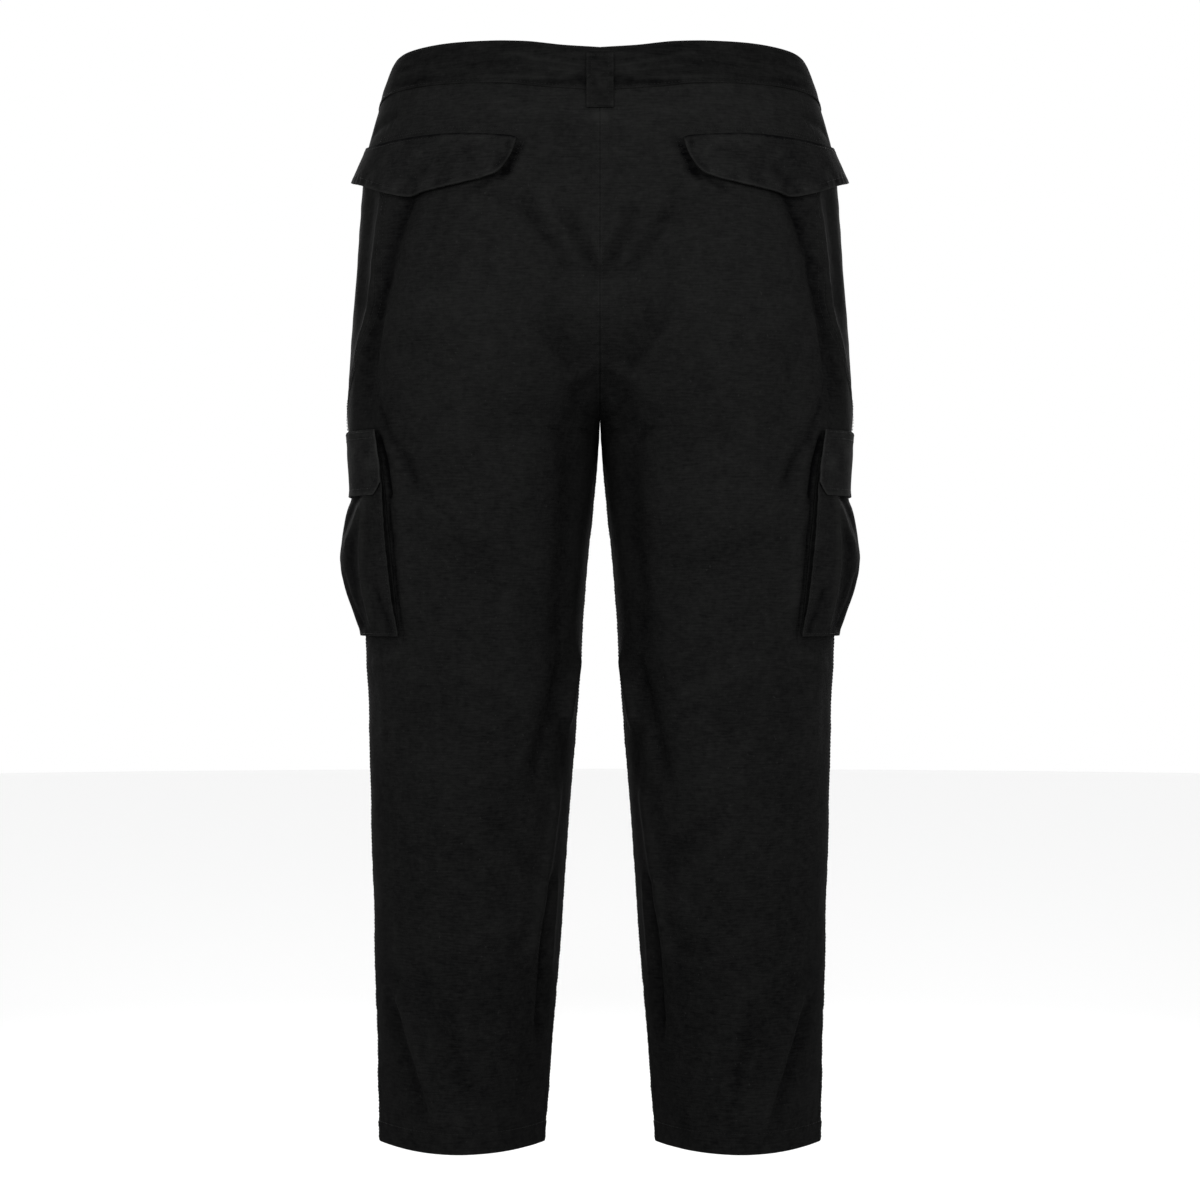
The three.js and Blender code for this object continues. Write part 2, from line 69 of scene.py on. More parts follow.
SEAM_GAP = 0.3
LAID_GAP = 0.9
HEM_Z = -1014.0
CROTCH_Z = -334.0
SEAT_RISE = 110.0
BAND_HEIGHT = 39.0
BAND_PROUD = 1.0
BAND_OVERLAP = 34.0
BAND_RAMP = 22.0
BAND_STACK = 2.9
LOOP_WIDTH = 25.0
LOOP_LENGTH = 52.0
LOOP_TOP = -4.0
LOOP_SLACK = 1.2
LOOP_SETTLE = 8.0
SIDE_LOOP_A = -46.0
FRONT_LOOP_A = -172.0
FLY_WIDTH = 36.0
FLY_UNDERLAP = 5.0
FLY_LENGTH = 178.0
FLY_ROUND = 32.0
FLY_END = 9.0
CARGO_REACH = 95.0
CARGO_BOTTOM = -529.0
CARGO_MOUTH = -362.0
CARGO_WALL = 1.2
CARGO_FULLNESS = 0.8
FLAP_TOP = -336.0
FLAP_BOTTOM = -397.0
FLAP_REACH = 97.0
FLAP_CORNER = 12.0
FLAP_WALL = 1.6
BACK_FLAP_OUTER = -2.0
BACK_FLAP_INNER = 225.0
BACK_FLAP_WALL = 1.7
BACK_FLAP_CURL = 1.2
CENTRE_FRONT_A = -270.0
CENTRE_BACK_A = 270.0

SECTION_COLUMNS = (
    "z", "outer", "inner", "back", "front", "backApex", "frontApex", "cleft", "lens",
)
SECTIONS = (
    (30, 190, 0.15, 127, 126, 24, 24, 0, 0),
    (5, 202, 0.15, 129, 127.5, 27, 27, 0, 0),
    (-20, 210, 0.15, 131, 129, 30, 30, 1, 0),
    (-80, 225, 0.15, 147, 136, 50, 40, 3, 0),
    (-130, 229.2, 0.15, 157, 138, 70, 52, 6, 0),
    (-180, 233, 0.15, 162, 136, 88, 68, 10, 0),
    (-230, 237, 0.15, 158, 131, 102, 88, 16, 0),
    (-280, 240, 0.15, 147, 127, 113, 106, 22, 0),
    (-327, 242.2, 0.15, 135, 124, 120, 120, 26, 0),
    (-336, 241, 0.6, 132, 123, 121, 121, 26, 0),
    (-351, 236.8, 2, 129, 122, 121, 121, 26, 0),
    (-375, 232.8, 4, 126, 121, 121, 121, 26, 0),
    (-399, 230.8, 6.2, 123, 120, 121, 121, 26, 0),
    (-457, 227.8, 12, 116, 116, 121, 121, 26, 0),
    (-533, 223.8, 18, 108, 111, 121, 121, 26, 0),
    (-591, 221.8, 21.6, 103, 108, 122, 122, 26, 0),
    (-687, 219.4, 28.8, 97, 101, 124, 124, 26, 0.05),
    (-783, 216.6, 35.5, 92, 92, 126, 126, 26, 0.2),
    (-879, 214, 43.2, 86, 84, 129, 129, 26, 0.45),
    (-975, 211.7, 50.4, 80, 80, 131, 131, 26, 0.7),
    (-1020, 210.6, 53.4, 78, 78, 132, 132, 26, 0.8),
)

# z, a of the outer seam
OUTSEAM = (
    (30, 62), (-60, 76), (-119, 88), (-160, 90), (-208, 91), (-234, 82),
    (-251, 70), (-269, 56), (-300, 27), (-336, 0), (-1020, 0),
)

# a, z of the waistband's top edge
BAND_TOP = (
    (-270, -5), (-130, 1), (-40, 7.5), (0, 13), (30, 19), (60, 21.8), (100, 22.4),
    (155, 21), (190, 19), (230, 14.5), (270, 12),
)

# z, lift of the thigh pocket, at its middle and at its edge
CARGO_BULGE = (
    (-533, 4.8), (-524, 6.6), (-514, 9.7), (-505, 12.3), (-495, 15.4), (-485, 17.8),
    (-476, 19.4), (-466, 20.6), (-457, 20.7), (-447, 20), (-437, 18.8), (-428, 16.9),
    (-418, 14.8), (-408, 11.6), (-399, 7.6), (-391, 6.2), (-375, 5.4), (-362, 4.3),
    (-350, 2.6), (-336, 0),
)
CARGO_EDGE = (
    (-533, 4.4), (-500, 7.5), (-455, 8.5), (-410, 7.2), (-385, 5.8), (-362, 4.2), (-336, 0),
)

# a, z of the back flap's edges, and a, lift of its free edge
BACK_FLAP_TOP = ((-2, -63), (69, -67), (144, -66), (217, -70.5), (225, -73))
BACK_FLAP_LOW = (
    (-2, -94.5), (37, -101.5), (76, -111), (100, -117), (125, -122), (156, -119.3),
    (175, -116.5), (205, -110.5), (216, -106.5), (222, -100), (225, -88),
)
BACK_FLAP_LIFT = ((-2, 9.6), (37, 6.5), (76, 4), (125, 3), (200, 4), (225, 5))

# Creases: from a, z to a, z, half width, height; a negative height is a trough.
FOLDS = (
    (126, -120, 86, -305, 17, -8.4),
    (60, -130, 64, -215, 16, -4.6),
    (254, -135, 302, -188, 10, -4.5),
    (299, -150, 330, -197, 9, -4.5),
    (290, -245, 311, -275, 13, -4.5),
    (334, -279, 298, -293, 8, 3),
    (338, -284, 298, -332, 10, -4),
    (104, -312, 128, -384, 8, -3.2),
    (115, -352, 104, -495, 9, 3),
    (300, -365, 268, -514, 18, -5),
    (300, -556, 275, -605, 9, 5),
    (262, -570, 228, -645, 12, -6),
    (69, -590, 70, -628, 17, 3.5),
    (251, -684, 212, -824, 8, 4),
    (251, -766, 241, -835, 7, 3),
    (243, -769, 223, -890, 8, -5),
    (213, -781, 149, -811, 10, 2.5),
    (62, -876, 98, -980, 7, 4),
    (50, -890, 78, -965, 10, -5),
    (98, -873, 130, -945, 13, -2.5),
    (-62, -140, -92, -300, 15, -4.5),
    (-285, -255, -190, -200, 12, -4),
    (-300, -274, -205, -235, 9, 3),
    (-310, -296, -215, -262, 12, -4),
    (-290, -370, -262, -520, 18, -4),
    (-60, -600, -150, -640, 13, -5),
    (-70, -632, -160, -690, 11, 4),
    (-240, -590, -165, -655, 11, -4),
    (-80, -860, -140, -960, 11, -4),
    (-205, -840, -165, -935, 9, 3),
)

# Finer creases, only in the cloth's own surface.
CREASES = (
    (126, -128, 107, -185, 7, -1.6),
    (108, -200, 72, -286, 7, -1.8),
    (118, -236, 88, -302, 5, 1.3),
    (84, -205, 60, -268, 5, 1.5),
    (264, -132, 308, -182, 6, 1.2),
    (309, -148, 335, -190, 5, 1.1),
    (106, -316, 114, -346, 4, -1.8),
    (119, -350, 129, -384, 5, -1.6),
    (62, -804, 67, -840, 5, 1.2),
    (58, -850, 121, -905, 6, -0.6),
    (121, -905, 130, -990, 6, -0.7),
    (47, -556, 92, -546, 5, 1.7),
    (264, -614, 264, -646, 8, -1.6),
    (345, -250, 352, -326, 13, -2.2),
    (34, -50, 72, -42, 5, -2.2),
    (303, -158, 331, -198, 3, -1.0),
    (262, -142, 304, -190, 3.4, -0.7),
    (75, -125, 73, -215, 5, -1.0),
    (276, -246, 306, -276, 4, -1.0),
    (298, -292, 334, -322, 4, -1.0),
    (226, -128, 262, -150, 7, -0.9),
    (180, 8, 256, -6, 2.6, 0.9),
    (196, -4, 262, -12, 2.2, 0.8),
    (150, -12, 238, -17, 2.4, 0.8),
    (205, -20, 262, -19, 3.0, -0.9),
    (120, -36, 200, -37, 3.0, 0.8),
    (170, -47, 250, -45, 3.0, 0.8),
    (60, -2, 150, 4, 2.6, 0.7),
    (70, -12, 140, -10, 2.4, -0.6),
    (229, -798, 217, -906, 5, -1.2),
    (176, -700, 214, -742, 9, -1.2),
    (160, -560, 214, -588, 9, 1.1),
    (120, -430, 190, -452, 14, -0.9),
    (150, -230, 226, -222, 16, 0.8),
    (-250, -150, -150, -128, 7, -1.1),
    (-270, -205, -170, -168, 6, 1.0),
    (-120, -400, -220, -420, 13, -0.9),
    (-90, -720, -150, -760, 8, 1.1),
    (-190, -700, -150, -760, 8, -1.1),
)
CREASE_FADE = 1.5

# Troughs that the pockets' and flaps' edges press into the leg beside them; the legs' colour is
# also darkened along them as painted shadow.
BESIDE_POCKETS = (
    (98, -344, 100, -396, 3.2, -3.6),
    (96, -400, 96.5, -440, 1.8, -1.9),
    (96.5, -440, 97, -531, 1.5, -1.6),
    (-97, -346, -97, -531, 2.4, -2.2),
    (230, -80, 226, -104, 5, -2.2),
    (223, -106, 203, -118, 4, -1.6),
)

# The cloth's surface.


def lerp(p, q, t):
    return p + (q - p) * t


def smooth(t):
    t = np.clip(t, 0, 1)
    return t * t * (3 - 2 * t)


def bump_at(distance, width):
    return np.exp(-((distance / width) ** 2))


def curve(rows, key=0, value=1):
    """A smooth curve through a table's rows that never overshoots them."""
    x, y = np.array(sorted((row[key], row[value]) for row in rows), float).T
    rise = np.diff(y) / np.diff(x)
    before, after = rise[:-1], rise[1:]
    same_way = before * after > 0
    total = np.where(same_way, before + after, 1)
    middle = np.where(same_way, 2 * before * after / total, 0)
    slope = np.concatenate([rise[:1], middle, rise[-1:]])

    def at(where):
        where = np.clip(where, x[0], x[-1])
        i = np.clip(np.searchsorted(x, where, side="right") - 1, 0, len(x) - 2)
        step = x[i + 1] - x[i]
        t = (where - x[i]) / step
        return (
            (2 * t**3 - 3 * t**2 + 1) * y[i]
            + (t**3 - 2 * t**2 + t) * step * slope[i]
            + (3 * t**2 - 2 * t**3) * y[i + 1]
            + (t**3 - t**2) * step * slope[i + 1]
        )

    return at


SHAPE = {name: curve(SECTIONS, 0, i) for i, name in enumerate(SECTION_COLUMNS)}
outseam_at = curve(OUTSEAM)
band_top_at = curve(BAND_TOP)
cargo_bulge_at = curve(CARGO_BULGE)
cargo_edge_at = curve(CARGO_EDGE)
back_flap_top_at = curve(BACK_FLAP_TOP)
back_flap_low_at = curve(BACK_FLAP_LOW)
back_flap_lift_at = curve(BACK_FLAP_LIFT)


def band_bottom_at(a):
    return band_top_at(a) - BAND_HEIGHT


def drift(x, y, size, seed):
    """Smooth seeded noise from -1 to 1 with lumps of a given size."""
    count = 64
    lattice = np.random.default_rng(seed).uniform(-1, 1, (count, count))
    i, j = np.floor(x / size).astype(int), np.floor(y / size).astype(int)
    tx, ty = smooth(x / size - i), smooth(y / size - j)
    near = lerp(lattice[i % count, j % count], lattice[(i + 1) % count, j % count], tx)
    far = lerp(
        lattice[i % count, (j + 1) % count], lattice[(i + 1) % count, (j + 1) % count], tx
    )
    return lerp(near, far, ty)


def puckers_at(along, pitch, sway, size, seed):
    """Small waves along a stitched edge, whose spacing sways."""
    return np.sin(along / pitch + sway * drift(along, 0 * along, size, seed))


def crease_lift(z, a, creases):
    lift = np.zeros(np.broadcast(z, a).shape)
    for from_a, from_z, to_a, to_z, width, height in creases:
        da, dz = to_a - from_a, to_z - from_z
        length = math.hypot(da, dz)
        t = ((a - from_a) * da + (z - from_z) * dz) / length**2
        across = ((a - from_a) * dz - (z - from_z) * da) / length
        past = np.maximum(np.maximum(-t, t - 1), 0) * length
        lift += height * bump_at(across, width) * bump_at(past, CREASE_FADE * width)
    return lift


def relief(z, a):
    """How far creases and the cloth's soft waviness move it outwards."""
    below_band = smooth((band_bottom_at(a) - z) / 25)
    waves = 0.8 * drift(a, z, 46, 3) + 0.35 * drift(a + 300, z * 1.6, 19, 4)
    return crease_lift(z, a, FOLDS) + crease_lift(z, a, CREASES) + waves * below_band


SIDE_STEPS = 110
INNER_STEPS = 80


def section(z, to_back):
    """Half of each level section: x, y and the distance from the outer side, row by row."""
    z = np.asarray(z, float)[:, None]
    outer = SHAPE["outer"](z)
    depth = SHAPE["back" if to_back else "front"](z)
    torso = z > CROTCH_Z
    rise = np.where(torso, np.clip((z - CROTCH_Z) / SEAT_RISE, 0, 1), 0)
    drawn_in = SHAPE["cleft"](z) * (1 if to_back else 0.5)
    seam_x = np.where(torso, 0.0, SHAPE["inner"](z))
    seam_y = (depth - drawn_in) * np.sqrt(1 - (1 - rise) ** 2)
    torso_apex = SHAPE["backApex" if to_back else "frontApex"](z)
    apex = np.where(torso, torso_apex, (outer + seam_x) / 2)
    round_end = np.arccos(np.minimum(seam_y / depth, 0.99))
    round_width = (apex - seam_x) / np.sin(round_end)
    lens = SHAPE["lens"](z)

    def flattened(height):
        return depth * lerp(height, height**2, lens)

    turn = np.linspace(0, math.pi / 2, SIDE_STEPS + 1)[None]
    side_x = apex + (outer - apex) * np.cos(turn)
    side_y = flattened(np.sin(turn))
    t = np.linspace(0, 1, INNER_STEPS + 1)[None, 1:]
    round_x = apex - round_width * np.sin(t * round_end)
    round_y = flattened(np.cos(t * round_end))
    bridge_x = lerp(apex, seam_x, t)
    bridge_y = lerp(seam_y, depth, 0.5 + 0.5 * np.cos(math.pi * t))
    bridged = smooth(rise)
    x = np.hstack([side_x, lerp(round_x, bridge_x, bridged)])
    y = np.hstack([side_y, lerp(round_y, bridge_y, bridged)])
    run = np.zeros_like(x)
    run[:, 1:] = np.cumsum(np.hypot(np.diff(x), np.diff(y)), axis=1)
    return x, y if to_back else -y, run


def half_girth(z, to_back):
    levels, row = np.unique(np.asarray(z, float), return_inverse=True)
    return section(levels, to_back)[2][:, -1][row.reshape(np.shape(z))]


CHUNK = 6000


def cloth(z, a):
    """Places on the legs' smooth outer face, and the level way that each faces."""
    z, a = (np.ravel(q).astype(float) for q in np.broadcast_arrays(z, a))
    place, out = np.empty((len(z), 3)), np.empty((len(z), 2))
    for to_back in (True, False):
        chosen = np.nonzero((a >= 0) == to_back)[0]
        for start in range(0, len(chosen), CHUNK):
            some = chosen[start : start + CHUNK]
            x, y, run = section(z[some], to_back)
            row, last = np.arange(len(some)), x.shape[1] - 1
            along = np.clip(np.abs(a[some]), 0, run[:, -1])
            i = np.clip((run < along[:, None]).sum(1), 1, last)
            share = (along - run[row, i - 1]) / (run[row, i] - run[row, i - 1])
            before, after = np.maximum(i - 2, 0), np.minimum(i + 1, last)
            way = np.stack(
                [x[row, after] - x[row, before], y[row, after] - y[row, before]], 1
            )
            way /= np.linalg.norm(way, axis=1)[:, None] * (1 if to_back else -1)
            way[i == 1] = (0, 1)
            way[(i == last) & (z[some] <= CROTCH_Z)] = (0, -1)
            place[some, 0] = lerp(x[row, i - 1], x[row, i], share)
            place[some, 1] = lerp(y[row, i - 1], y[row, i], share)
            out[some, 0], out[some, 1] = way[:, 1], -way[:, 0]
    place[:, 2] = z
    return place, out


CENTRE_HOLD = 16.0


def moved_out(z, a, lift):
    """Places on the left half, at a lift from the cloth; the centre seam keeps its line."""
    z, a, lift = (np.ravel(q).astype(float) for q in np.broadcast_arrays(z, a, lift))
    place, out = cloth(z, a)
    share = np.where(z > CROTCH_Z, smooth(place[:, 0] / CENTRE_HOLD), 1)
    move = out * (lift + relief(z, a))[:, None]
    move[:, 0] *= np.where(lift < -1, 1, share)
    place[:, :2] += move
    place[:, 0] = np.maximum(place[:, 0], 0)
    return place


CENTRE_SAMPLES = 70
CENTRE_SHARE = 0.45


def at_centre(z, x, to_back, lift):
    """Places near the centre seam, found by x, which may lie on either half."""
    levels, row = np.unique(np.round(z, 4), return_inverse=True)
    y = np.empty(len(z))
    share = 1 - CENTRE_SHARE * np.linspace(0, 1, CENTRE_SAMPLES)
    sign = 1 if to_back else -1
    for number, level in enumerate(levels):
        reach = half_girth(np.array([level]), to_back)[0] * sign
        spots = moved_out(level, reach * share, 0.0)
        here = row == number
        order = np.argsort(spots[:, 0])
        y[here] = np.interp(np.abs(x[here]), spots[order, 0], spots[order, 1])
    return np.stack([x, y + sign * lift, z], 1)


# Making a piece.


def owned(context):
    return context.scene.trousers_sizes, context.scene.trousers_colours


def spread(u, knots, spots):
    """A broken line through knots, whose spots may be arrays."""
    made = np.zeros_like(u) + spots[0]
    for (u0, u1), (s0, s1) in zip(pairwise(knots), pairwise(spots)):
        made = made + np.clip((u - u0) / (u1 - u0), 0, 1) * (s1 - s0)
    return made


def joined(a, z):
    """A path or chart as rows of a, z, where either may be one number."""
    return np.stack(np.broadcast_arrays(a, z), 1).astype(float)


def as_object(name, bm, material):
    """Puts a bmesh into the scene as a smooth object."""
    mesh = bpy.data.meshes.new(name)
    bm.to_mesh(mesh)
    bm.free()
    mesh.polygons.foreach_set("use_smooth", np.ones(len(mesh.polygons), bool))
    mesh.materials.append(material)
    piece = bpy.data.objects.new(name, mesh)
    bpy.context.scene.collection.objects.link(piece)
    return piece


ROUND_SEGMENTS = 2
ROUND_FROM = math.radians(55)


def cloth_piece(name, side, grid, place, wall, material, rounding):
    """A cut piece of cloth: a grid laid by place(u, v), with its thickness inside its face."""
    columns, rows = grid
    bm = bmesh.new()
    bmesh.ops.create_grid(bm, x_segments=columns, y_segments=rows, size=0.5)
    bm.verts.index_update()
    u, v = (np.array([vert.co[:2] for vert in bm.verts]) + 0.5).T
    column, row = np.round(u * columns).astype(int), np.round(v * rows).astype(int)
    places, chart, fade_and_painted_light = place(column / columns, row / rows)
    places[:, 0] *= SIDES.get(side, 1)
    for vert, spot in zip(bm.verts, places * MM):
        vert.co = spot
    if side == "right":
        bmesh.ops.reverse_faces(bm, faces=bm.faces)
    piece = as_object(name, bm, material)
    mesh = piece.data
    corners = np.empty(len(mesh.loops), np.int32)
    mesh.loops.foreach_get("vertex_index", corners)
    layer = mesh.uv_layers.new(name="cloth")
    layer.data.foreach_set("uv", (chart[corners] * MM).astype(np.float32).ravel())
    faded_and_lit = mesh.attributes.new("fade_and_painted_light", "FLOAT", "POINT")
    faded_and_lit.data.foreach_set("value", fade_and_painted_light.astype(np.float32))
    thickness = piece.modifiers.new("Cloth thickness", "SOLIDIFY")
    thickness.thickness = wall
    thickness.offset = -1
    thickness.use_rim = True
    if rounding:
        edge = piece.modifiers.new("Rounded edges", "BEVEL")
        edge.width = wall * rounding
        edge.segments = ROUND_SEGMENTS
        edge.limit_method = "ANGLE"
        edge.angle_limit = ROUND_FROM
        edge.profile = 0.5
    lattice = np.empty((rows + 1, columns + 1, 3))
    lattice[row, column] = places
    return piece, lattice


ROOM = 0.009


def belongs(piece, node=None):
    """Ties a piece to the body and to its solid, which it may not stray from."""
    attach(piece, "root")
    if node is None:
        return
    corners = np.array([vert.co for vert in piece.data.vertices])
    low, high = (np.array(corner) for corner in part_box(node))
    if (corners < low - ROOM).any() or (corners > high + ROOM).any():
        raise RuntimeError(f"{piece.name} leaves the box of {node}")
    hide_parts(node)


def resampled(path, pitch):
    """Points spaced evenly along a path of a, z, and the way it runs at each."""
    path = np.asarray(path, float)
    run = np.concatenate([[0], np.cumsum(np.hypot(*np.diff(path, axis=0).T))])
    count = max(2, int(run[-1] / pitch))
    at = (np.arange(count) + 0.5) * run[-1] / count
    points = np.stack([np.interp(at, run, path[:, k]) for k in (0, 1)], 1)
    ahead = np.stack([np.interp(at + 0.5, run, path[:, k]) for k in (0, 1)], 1)
    behind = np.stack([np.interp(at - 0.5, run, path[:, k]) for k in (0, 1)], 1)
    way = ahead - behind
    return points, way / np.linalg.norm(way, axis=1)[:, None]


STITCH_PROBE = 0.4
STITCH_PROUD = 0.6


def stitches(name, side, surface, paths):
    """Rows of stitches along paths of a, z on a surface(z, a), all in one piece."""
    sizes, colours = owned(bpy.context)
    bm = bmesh.new()
    half = np.array([sizes.stitch_length, sizes.stitch_width, sizes.stitch_height]) / 2
    mirror = np.array([SIDES.get(side, 1), 1, 1])
    for path in paths:
        points, way = resampled(path, sizes.stitch_pitch / MM)
        a, z = points.T
        da, dz = way.T
        middle = surface(z, a)
        da, dz = da * STITCH_PROBE, dz * STITCH_PROBE
        along = surface(z + dz, a + da) - surface(z - dz, a - da)
        aside = surface(z + da, a - dz) - middle
        normal = np.cross(along, aside)
        normal /= np.linalg.norm(normal, axis=1)[:, None]
        along = along / np.linalg.norm(along, axis=1)[:, None] * mirror
        middle, normal = middle * mirror * MM, normal * mirror
        aside = np.cross(normal, along)
        middle = middle + normal * half[2] * STITCH_PROUD
        for place, t, s, n in zip(middle, along, aside, normal):
            turn = Matrix((t * half[0], s * half[1], n * half[2])).transposed().to_4x4()
            turn.translation = place
            bmesh.ops.create_icosphere(bm, subdivisions=1, radius=1.0, matrix=turn)
    piece = as_object(name, bm, thread_material(colours))
    belongs(piece)
    return piece


EDGE_ROUND = 0.35


def sew(
    kind, side, grid, place, wall, material, surface=None, paths=(), rounding=0.0
):
    """Makes a cut piece with its stitches."""
    tail = f"_{side}" if side else ""
    piece, lattice = cloth_piece(
        f"{kind}_cloth{tail}", side, grid, place, wall, material, rounding
    )
    belongs(piece, kind + tail)
    sewn = [stitches(f"{kind}_stitches{tail}", side, surface, paths)] if surface else []


# Finishes.


def add_node(tree, kind, values=(), **settings):
    node = tree.nodes.new(kind)
    for key, value in settings.items():
        setattr(node, key, value)
    for key, value in dict(values).items():
        node.inputs[key].default_value = value
    return node


def math_node(tree, operation, first, second, third=None):
    node = tree.nodes.new("ShaderNodeMath")
    node.operation = operation
    for socket, value in zip(node.inputs, (first, second, third)):
        if value is None:
            continue
        if isinstance(value, (int, float)):
            socket.default_value = value
        else:
            tree.links.new(value, socket)
    return node.outputs[0]


def new_material(name, specular):
    material = bpy.data.materials.new(name)
    material.use_nodes = True
    shader = material.node_tree.nodes["Principled BSDF"]
    shader.inputs["Specular IOR Level"].default_value = specular
    return material, material.node_tree, shader


# Scale, detail and roughness of the twill's noises.
TWILL_CLOUDS = (13.0, 5.0, 0.6)
TWILL_FLECKS = (230.0, 3.0, 0.65)
TWILL_SLUBS = (620.0, 2.0, 0.6)
TWILL_BLOTCHES = (75.0, 3.0, 0.6)
TWILL_PUCKERS = (55.0, 3.0, 0.5)
TWILL_LINT = (310.0, 1.0, 0.55)
TWILL_WEAVE = {"Scale": 210.0, "Distortion": 1.2, "Detail": 1.0, "Detail Scale": 3.0}
SLUB_STRETCH = (0.13, 1.0, 1.0)
LINT_GAIN, LINT_FROM = 9.0, -6.6


def twill_material(name, colours, lightness, seed):
    """Washed black twill: a fine diagonal weave, cloudy fading, worn edges and ridges, and painted
    shade and painted light from each piece's tint attribute.
    """
    known = bpy.data.materials.get(name)
    if known:
        return known
    material, tree, shader = new_material(name, 0.01)
    coordinates = tree.nodes.new("ShaderNodeTexCoord")
    chart = add_node(tree, "ShaderNodeUVMap", uv_map="cloth")
    faded_and_lit = add_node(tree, "ShaderNodeAttribute", attribute_name="fade_and_painted_light")
    shifted = add_node(tree, "ShaderNodeMapping", {"Location": (seed, 0.37 * seed, 0.0)})
    tree.links.new(coordinates.outputs["Object"], shifted.inputs["Vector"])

    def noise(values, source=shifted):
        values = dict(zip(("Scale", "Detail", "Roughness"), values))
        made = add_node(tree, "ShaderNodeTexNoise", values)
        tree.links.new(source.outputs["Vector"], made.inputs["Vector"])
        return made.outputs["Fac"]

    stretched = add_node(tree, "ShaderNodeMapping", {"Scale": SLUB_STRETCH})
    tree.links.new(chart.outputs["UV"], stretched.inputs["Vector"])
    slubs = noise(TWILL_SLUBS, stretched)
    clouds, flecks, blotches, puckers, lint = (
        noise(values)
        for values in (TWILL_CLOUDS, TWILL_FLECKS, TWILL_BLOTCHES, TWILL_PUCKERS, TWILL_LINT)
    )
    bands = {"wave_type": "BANDS", "bands_direction": "DIAGONAL"}
    weave = add_node(tree, "ShaderNodeTexWave", TWILL_WEAVE, **bands)
    tree.links.new(chart.outputs["UV"], weave.inputs["Vector"])

    # The pieces' attribute moves the colour from deep to faded: wear, and also painted shade and
    # painted highlights.
    share = math_node(tree, "MULTIPLY_ADD", faded_and_lit.outputs["Fac"], 0.5, 0.5)
    for mottle, amount in ((clouds, 0.45), (blotches, 0.5), (flecks, 0.6), (slubs, 0.75)):
        mottle = math_node(tree, "MULTIPLY_ADD", mottle, amount, -amount / 2)
        share = math_node(tree, "ADD", share, mottle)
    lint = math_node(tree, "MULTIPLY_ADD", lint, LINT_GAIN, LINT_FROM)
    share = math_node(tree, "ADD", share, math_node(tree, "MAXIMUM", lint, 0.0))
    blend = add_node(tree, "ShaderNodeMix", data_type="RGBA", clamp_factor=True)
    # The deep colour also serves as painted shade, the faded one (worn) also as painted light.
    deep_and_shaded, worn = np.array(colours.deep_and_shaded[:]), np.array(colours.faded_and_lit[:])
    blend.inputs[6].default_value = (*(deep_and_shaded * lightness), 1)
    blend.inputs[7].default_value = (*(worn * lightness), 1)
    tree.links.new(share, blend.inputs[0])
    tree.links.new(blend.outputs[2], shader.inputs["Base Color"])
    rough = math_node(tree, "MULTIPLY_ADD", clouds, 0.2, 0.74)
    tree.links.new(rough, shader.inputs["Roughness"])

    normal = None
    for height, distance, strength in (
        (puckers, 0.0011, 0.55),
        (flecks, 0.0005, 0.5),
        (weave.outputs["Fac"], 0.00012, 0.5),
    ):
        bump = add_node(tree, "ShaderNodeBump", {"Strength": strength, "Distance": distance})
        tree.links.new(height, bump.inputs["Height"])
        if normal:
            tree.links.new(normal, bump.inputs["Normal"])
        normal = bump.outputs["Normal"]
    tree.links.new(normal, shader.inputs["Normal"])
    return material


def mottled_material(name, colour, shades, noise, specular, roughness, marks=0.0):
    """A material whose colour, roughness and marks follow a noise of a scale and detail."""
    known = bpy.data.materials.get(name)
    if known:
        return known
    material, tree, shader = new_material(name, specular)
    coordinates = tree.nodes.new("ShaderNodeTexCoord")
    grain = add_node(tree, "ShaderNodeTexNoise", {"Scale": noise[0], "Detail": noise[1]})
    tree.links.new(coordinates.outputs["Object"], grain.inputs["Vector"])
    if shades:
        ramp = add_node(tree, "ShaderNodeMix", data_type="RGBA")
        for socket, shade in zip((6, 7), shades):
            ramp.inputs[socket].default_value = (*(np.array(colour) * shade), 1)
        tree.links.new(grain.outputs["Fac"], ramp.inputs[0])
        tree.links.new(ramp.outputs[2], shader.inputs["Base Color"])
    else:
        shader.inputs["Base Color"].default_value = (*colour, 1)
    rough = math_node(tree, "MULTIPLY_ADD", grain.outputs["Fac"], *roughness)
    tree.links.new(rough, shader.inputs["Roughness"])
    if marks:
        bump = add_node(tree, "ShaderNodeBump", {"Strength": 0.2, "Distance": marks})
        tree.links.new(grain.outputs["Fac"], bump.inputs["Height"])
        tree.links.new(bump.outputs["Normal"], shader.inputs["Normal"])
    return material


def thread_material(colours):
    """Spun polyester thread with a slight lustre and a twist."""
    return mottled_material(
        "sewing thread",
        colours.thread[:],
        shades=(0.7, 1.3),
        noise=(1800.0, 1.0),
        specular=0.08,
        roughness=(0.3, 0.45),
    )


def button_material(colours):
    """Moulded black plastic with a satin face and fine handling marks."""
    return mottled_material(
        "button plastic",
        colours.button[:],
        shades=(0.8, 1.4),
        noise=(600.0, 4.0),
        specular=0.09,
        roughness=(0.25, 0.38),
        marks=0.0001,
    )


# The legs.

CROTCH_EASE = 36.0
CROTCH_SPREAD = 17.0
CROTCH_STEPS = 11
HIP_Z = -150.0
THIGH_Z = -450.0
